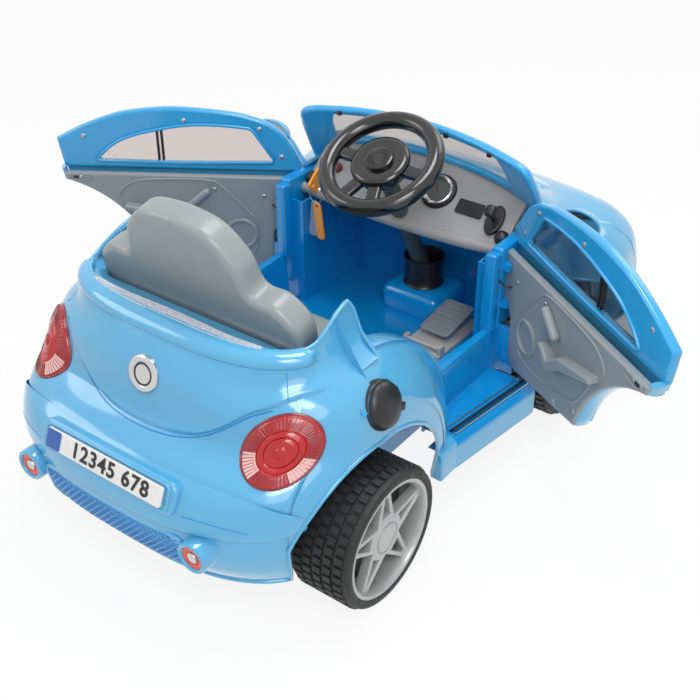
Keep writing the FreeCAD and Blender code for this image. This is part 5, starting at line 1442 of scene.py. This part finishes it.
DASH_SLOPE = math.radians(39.7)
DASH_UP = Vector((0, math.cos(DASH_SLOPE), math.sin(DASH_SLOPE)))
DASH_OUT = Vector((0, -math.sin(DASH_SLOPE), math.cos(DASH_SLOPE)))
DASH_LOW = Vector((0, 142, 316))


def dash_base(x, along, out=0.0):
    """Placement on the dash face: local X to the right, local Y up the slope, local Z out of it."""
    return axes(DASH_LOW + Vector((x, 0, 0)) + DASH_UP * along + DASH_OUT * out, (1, 0, 0), DASH_UP)


dash_outline = smooth_path(mirrored([(0, -2), (120, 0), (206, 6)]), steps=10)
dash_outline += [(206, 118), (190, 124), (-190, 124), (-206, 118)]
lip_line = smooth_path(mirrored([(0, -2), (120, 1), (208, 8)]))
dash_parts = [
    plate("dash_face", [dash_outline], dash_base(0, 0), 12, 3, -12),
    sweep("dash_lip", [dash_base(x, y, -6).translation for x, y in lip_line], 10, sides=16),
    block("dash_back", (-206, 236, 322), (206, 252, 396), 5),
]
settle(merged("dash_moulding", dash_parts), DASH_GREY, "dashboard", crease=50)
DOME = ((0, 13), (5, 12.4), (9, 10), (12, 5), (13, 0))
domes = [lathe(f"dash_dome_{side}", DOME, dash_base(side * 196, 26), 32) for side in (-1, 1)]
settle(merged("dash_domes", domes), BLACK)
settle(lathe("dash_red_button", ((0, 8), (6, 7.6), (9, 5), (10, 0)), dash_base(-158, 58), 32), DARK_RED)
GAUGE_BASE = dash_base(50, 72)
settle(lathe("gauge_cup", ((0, 2), (22, 2), (24, 4), (27, 6), (31, 5), (33, 0)), GAUGE_BASE), BLACK, "gauge")
settle(lathe("gauge_ring", ((22, 3), (23, 7.5), (25, 8.8), (27, 7.5), (28, 3)), GAUGE_BASE), CHROME)
settle(lathe("gauge_face", ((0, 3.4), (20, 3.4), (21, 2)), GAUGE_BASE), COLUMN_GREY)
settle(block("gauge_needle", (-1, -3, 3.6), (1, 17, 5), 0.4, turned_about_z(GAUGE_BASE, 0.7)), DARK_RED)
badge = plate("badge_plate", [rounded_rectangle(-25, -13, 25, 13, 3)], dash_base(120, 58), 4, 1)
settle(badge, BLACK, "dash_badge")
LEVER_BASE = dash_base(172, 50)
settle(plate("shifter_plinth", [oval_outline(15, 27)], LEVER_BASE, 9, 3), BLACK, "shifter_base")
lever_parts = [
    sweep("lever_stem", [LEVER_BASE @ Vector((0, 0, 8)), LEVER_BASE @ Vector((0, 2, 30))], 4.5, sides=14),
    block("lever_knob", (-8, -8, 26), (8, 12, 40), 4, LEVER_BASE),
]
settle(merged("lever_and_knob", lever_parts), BLACK, "gear_lever", "gear_lever", crease=50)

# Ignition lock, key and tags
LOCK_BASE = dash_base(-165, 14)
LOCK = ((0, 7), (4, 7), (6, 8), (8.5, 7.5), (9, 5), (9, 0))
settle(lathe("lock_barrel", LOCK, LOCK_BASE), CHROME, "ignition_lock")
KEY_BASE = LOCK_BASE @ Matrix.Rotation(math.pi / 2, 4, "Y")
bow_outlines = [rounded_rectangle(-44, -21, -13, 21, 7), oval_outline(4, 4, 20, (-34, -13))]
key_parts = [
    plate("key_bow", bow_outlines, KEY_BASE, 5, 1.4, -2.5),
    block("key_shank", (-14, -4, -1.5), (-7, 4, 1.5), 0.5, KEY_BASE),
]
settle(merged("key_and_bow", key_parts), ORANGE, "ignition_key", "key")
RING_TOP = Vector((-165, 130.76, 332.67))
RING_R = 14
ring_path = [RING_TOP + Vector((x, 0, z)) for z, x in oval_outline(RING_R, RING_R, 40, (-RING_R, 0))]
settle(sweep("key_ring", ring_path, 0.9, sides=8, closed=True), STEEL, body="key_tags", crease=60)
TAG_BASE = axes(RING_TOP, (1, 0, 0), (0, 0, 1))
tag_outlines = [rounded_rectangle(-9, -98, 9, -27, 7), oval_outline(3, 3, 16, (0, -33))]
for name, look, node, angle, low in (
    ("key_tag_orange", ORANGE, "key_tags", 0.14, 1), ("key_tag_clear", CLEAR_TAG, None, -0.10, -4),
):
    settle(plate(name, tag_outlines, turned_about_z(TAG_BASE, angle), 3, 0.9, low), look, node, "key_tags")


# Steering

STEER_BASE = facing((0, 95, 437), (0, -0.48481, 0.87462), (0, 1, 0))
STEER_R = 92
STEER_HUB = ((0, 8), (28, 8), (40, 11), (48, 9), (51, 3), (46, -14), (24, -22), (0, -22))
HORN = ((0, 14.5), (20, 14.5), (23, 13.5), (24, 11), (24, 8.4), (0, 8.4))
grip_path = [STEER_BASE @ Vector((x, y, 0)) for x, y in oval_outline(STEER_R, STEER_R, 96)]
steer_parts = [
    sweep("steer_grip", grip_path, 14.5, sides=20, closed=True),
    lathe("steer_hub", STEER_HUB, STEER_BASE),
]
for degrees in (0, 180, 250, 290):
    spoke_base = turned_about_z(STEER_BASE, math.radians(degrees))
    steer_parts.append(block(f"steer_spoke_{degrees}", (30, -11, -9), (86, 11, 3), 4, spoke_base))
settle(merged("steer_wheel_moulding", steer_parts), BLACK_GLOSS, "steering_wheel", "steering", crease=50)
horn_parts = [lathe("horn_disc", HORN, STEER_BASE)]
for k, angle in enumerate(turns_round(24)):
    slot_base = turned_about_z(STEER_BASE, angle)
    horn_parts.append(block(f"horn_slot_{k}", (10, -0.8, 14.2), (20, 0.8, 15.6), 0.4, slot_base, segments=1))
settle(merged("horn_pad", horn_parts), BLACK_GLOSS, "horn_button", "horn", crease=40)
column_cover = lathe("column_cover", ((15, -20), (15, -330), (11, -336)), STEER_BASE, 32, filled=False)
settle(column_cover, COLUMN_GREY, body="steering", crease=50)
BOOT = ((37, 0), (38, 3), (35, 7), (34, 24), (35, 42), (37, 50), (38, 56), (34, 57), (32, 50), (31, 10),
        (20, 6), (9, 6))
boot = lathe("boot_cup", BOOT, Matrix.Translation((0, 240, 149)))
settle(boot, BLACK, "steering_boot", crease=50)
settle(block("boot_step", (-62, 186, 92), (62, 300, 150), 18, segments=6), CABIN_BLUE, crease=60)


# Pedal

PEDAL_LEAN = math.radians(8)
PEDAL_BASE = axes((90, 106, 116), (1, 0, 0), (0, math.cos(PEDAL_LEAN), math.sin(PEDAL_LEAN)))
pedal_parts = [plate("pedal_pad", [rounded_rectangle(-30, 30, 30, 126, 8)], PEDAL_BASE, 6, 2)]
for k in range(6):
    pedal_parts.append(block(f"pedal_rib_{k}", (-23, 42 + 13 * k, 5), (23, 46 + 13 * k, 8), 1, PEDAL_BASE))
settle(merged("pedal_plate", pedal_parts), PANEL_GREY, "pedal", "pedal", crease=50)


# Fuel filler on the right rear fender

FILLER_OUT = Vector((0.94, 0, 0.34))
FILLER_BASE = facing((274, -290, 299), FILLER_OUT)
filler_ring = lathe("filler_ring", ((30, -6), (31, 3), (33, 6), (35, 4), (35, -6)), FILLER_BASE)
settle(filler_ring, BLACK, "fuel_filler", crease=50)
CAP = ((0, 20), (14, 19.5), (24, 17), (31, 12.6), (32.5, 9), (32.5, 7.3), (0, 7.3))
arm_base = axes(FILLER_BASE.translation + FILLER_OUT * 11, (0.17, 0.866, -0.47), FILLER_OUT)
cap_parts = [
    lathe("filler_cap", CAP, FILLER_BASE),
    block("filler_arm", (0, -2.5, -6), (38, 2.5, 6), 2, arm_base),
]
settle(merged("filler_cap_and_arm", cap_parts), BLACK, "fuel_cap", "fuel_cap", crease=50)


# Finishes of the CAD nodes that stay shown

SHOWN = {
    "chassis_tub": CABIN_BLUE, "rear_axle": STEEL, "gearbox_housing": BLACK, "drive_motor": STEEL,
    "battery": BATTERY, "front_beam": STEEL, "knuckle_left": STEEL, "knuckle_right": STEEL, "tie_rod": STEEL,
    "steering_column": COLUMN_GREY, "door_hinge_pins": STEEL, "pedal_base": PALE_GREY,
}
for name, look in SHOWN.items():
    materials = frame_nodes[name].data.materials
    materials.clear()
    materials.append(look)


# Stage, light and camera

FLOOR_HALF = 6000
FLOOR_WHITE = 0.88
WORLD_STRENGTH = 0.46


def seen_share(tree):
    """Output that is 1 for camera, transmission and glossy rays and 0 for the rays that carry light."""
    ray = tree.nodes.new("ShaderNodeLightPath")
    share = ray.outputs["Is Camera Ray"]
    for kind in ("Is Transmission Ray", "Is Glossy Ray"):
        either = tree.nodes.new("ShaderNodeMath")
        either.operation = "MAXIMUM"
        tree.links.new(share, either.inputs[0])
        tree.links.new(ray.outputs[kind], either.inputs[1])
        share = either.outputs["Value"]
    return share


def mix_by(tree, share, lit, seen, output):
    """Show one shader to the rays that light the scene and another to those that see it."""
    mix = tree.nodes.new("ShaderNodeMixShader")
    tree.links.new(share, mix.inputs["Fac"])
    tree.links.new(lit, mix.inputs[1])
    tree.links.new(seen, mix.inputs[2])
    tree.links.new(mix.outputs["Shader"], tree.nodes[output].inputs["Surface"])


corners = [(x * FLOOR_HALF, y * FLOOR_HALF, 0) for x, y in ((-1, -1), (1, -1), (1, 1), (-1, 1))]
floor = mesh_object("studio_floor", corners, [(0, 1, 2, 3)])
floor_look = bpy.data.materials.new("studio_floor")
floor_look.use_nodes = True
tree = floor_look.node_tree
floor_shader = tree.nodes["Principled BSDF"]
fill(floor_shader, {"Base Color": (0.93, 0.93, 0.93, 1), "Roughness": 0.9, "Specular IOR Level": 0.0})
floor_share = tree.nodes.new("ShaderNodeMath")
floor_share.operation = "MULTIPLY"
floor_share.inputs[1].default_value = FLOOR_WHITE
tree.links.new(seen_share(tree), floor_share.inputs[0])
floor_white = tree.nodes.new("ShaderNodeEmission")
fill(floor_white, {"Color": (1, 1, 1, 1), "Strength": 1.0})
mix_by(tree, floor_share.outputs["Value"], floor_shader.outputs["BSDF"], floor_white.outputs["Emission"],
       "Material Output")
floor.data.materials.append(floor_look)

world = bpy.data.worlds.new("studio")
scene.world = world
world.use_nodes = True
tree = world.node_tree
shade = tree.nodes.new("ShaderNodeBackground")
fill(shade, {"Color": (1, 1, 1, 1), "Strength": WORLD_STRENGTH})
white = tree.nodes.new("ShaderNodeBackground")
fill(white, {"Color": (1, 1, 1, 1), "Strength": 1.0})
mix_by(tree, seen_share(tree), shade.outputs["Background"], white.outputs["Background"], "World Output")


def aimed(obj, place, aim):
    """Place an object so that it looks at a point."""
    obj.location = place
    obj.rotation_euler = (Vector(aim) - Vector(place)).to_track_quat("-Z", "Y").to_euler()
    return obj


def studio_light(name, place, aim, size, watts):
    light = bpy.data.lights.new(name, "AREA")
    light.shape = "DISK"
    light.size = size
    light.energy = watts
    aimed(link(bpy.data.objects.new(name, light)), place, aim)


studio_light("key_light", (1.3, -1.5, 2.5), (0, -0.1, 0.2), 1.1, 21)
studio_light("left_fill", (-2.2, -1.6, 1.9), (0, -0.1, 0.25), 1.4, 14)
studio_light("front_fill", (0.4, 2.2, 2.4), (0, 0.2, 0.25), 1.6, 14)
studio_light("top_fill", (0.1, 0.15, 2.3), (0.05, 0.1, 0.1), 1.0, 18)
studio_light("camera_fill", (1.1, -1.0, 1.15), (-0.1, 0.15, 0.25), 0.9, 4.5)

camera = bpy.data.cameras.new("photo_camera")
camera.lens = 55.974
camera.sensor_width = 36
camera_object = link(bpy.data.objects.new("photo_camera", camera))
scene.camera = aimed(camera_object, (0.93690, -1.25198, 1.16394), (0.06366, -0.075, 0.18835))
scene.view_settings.view_transform = "Standard"
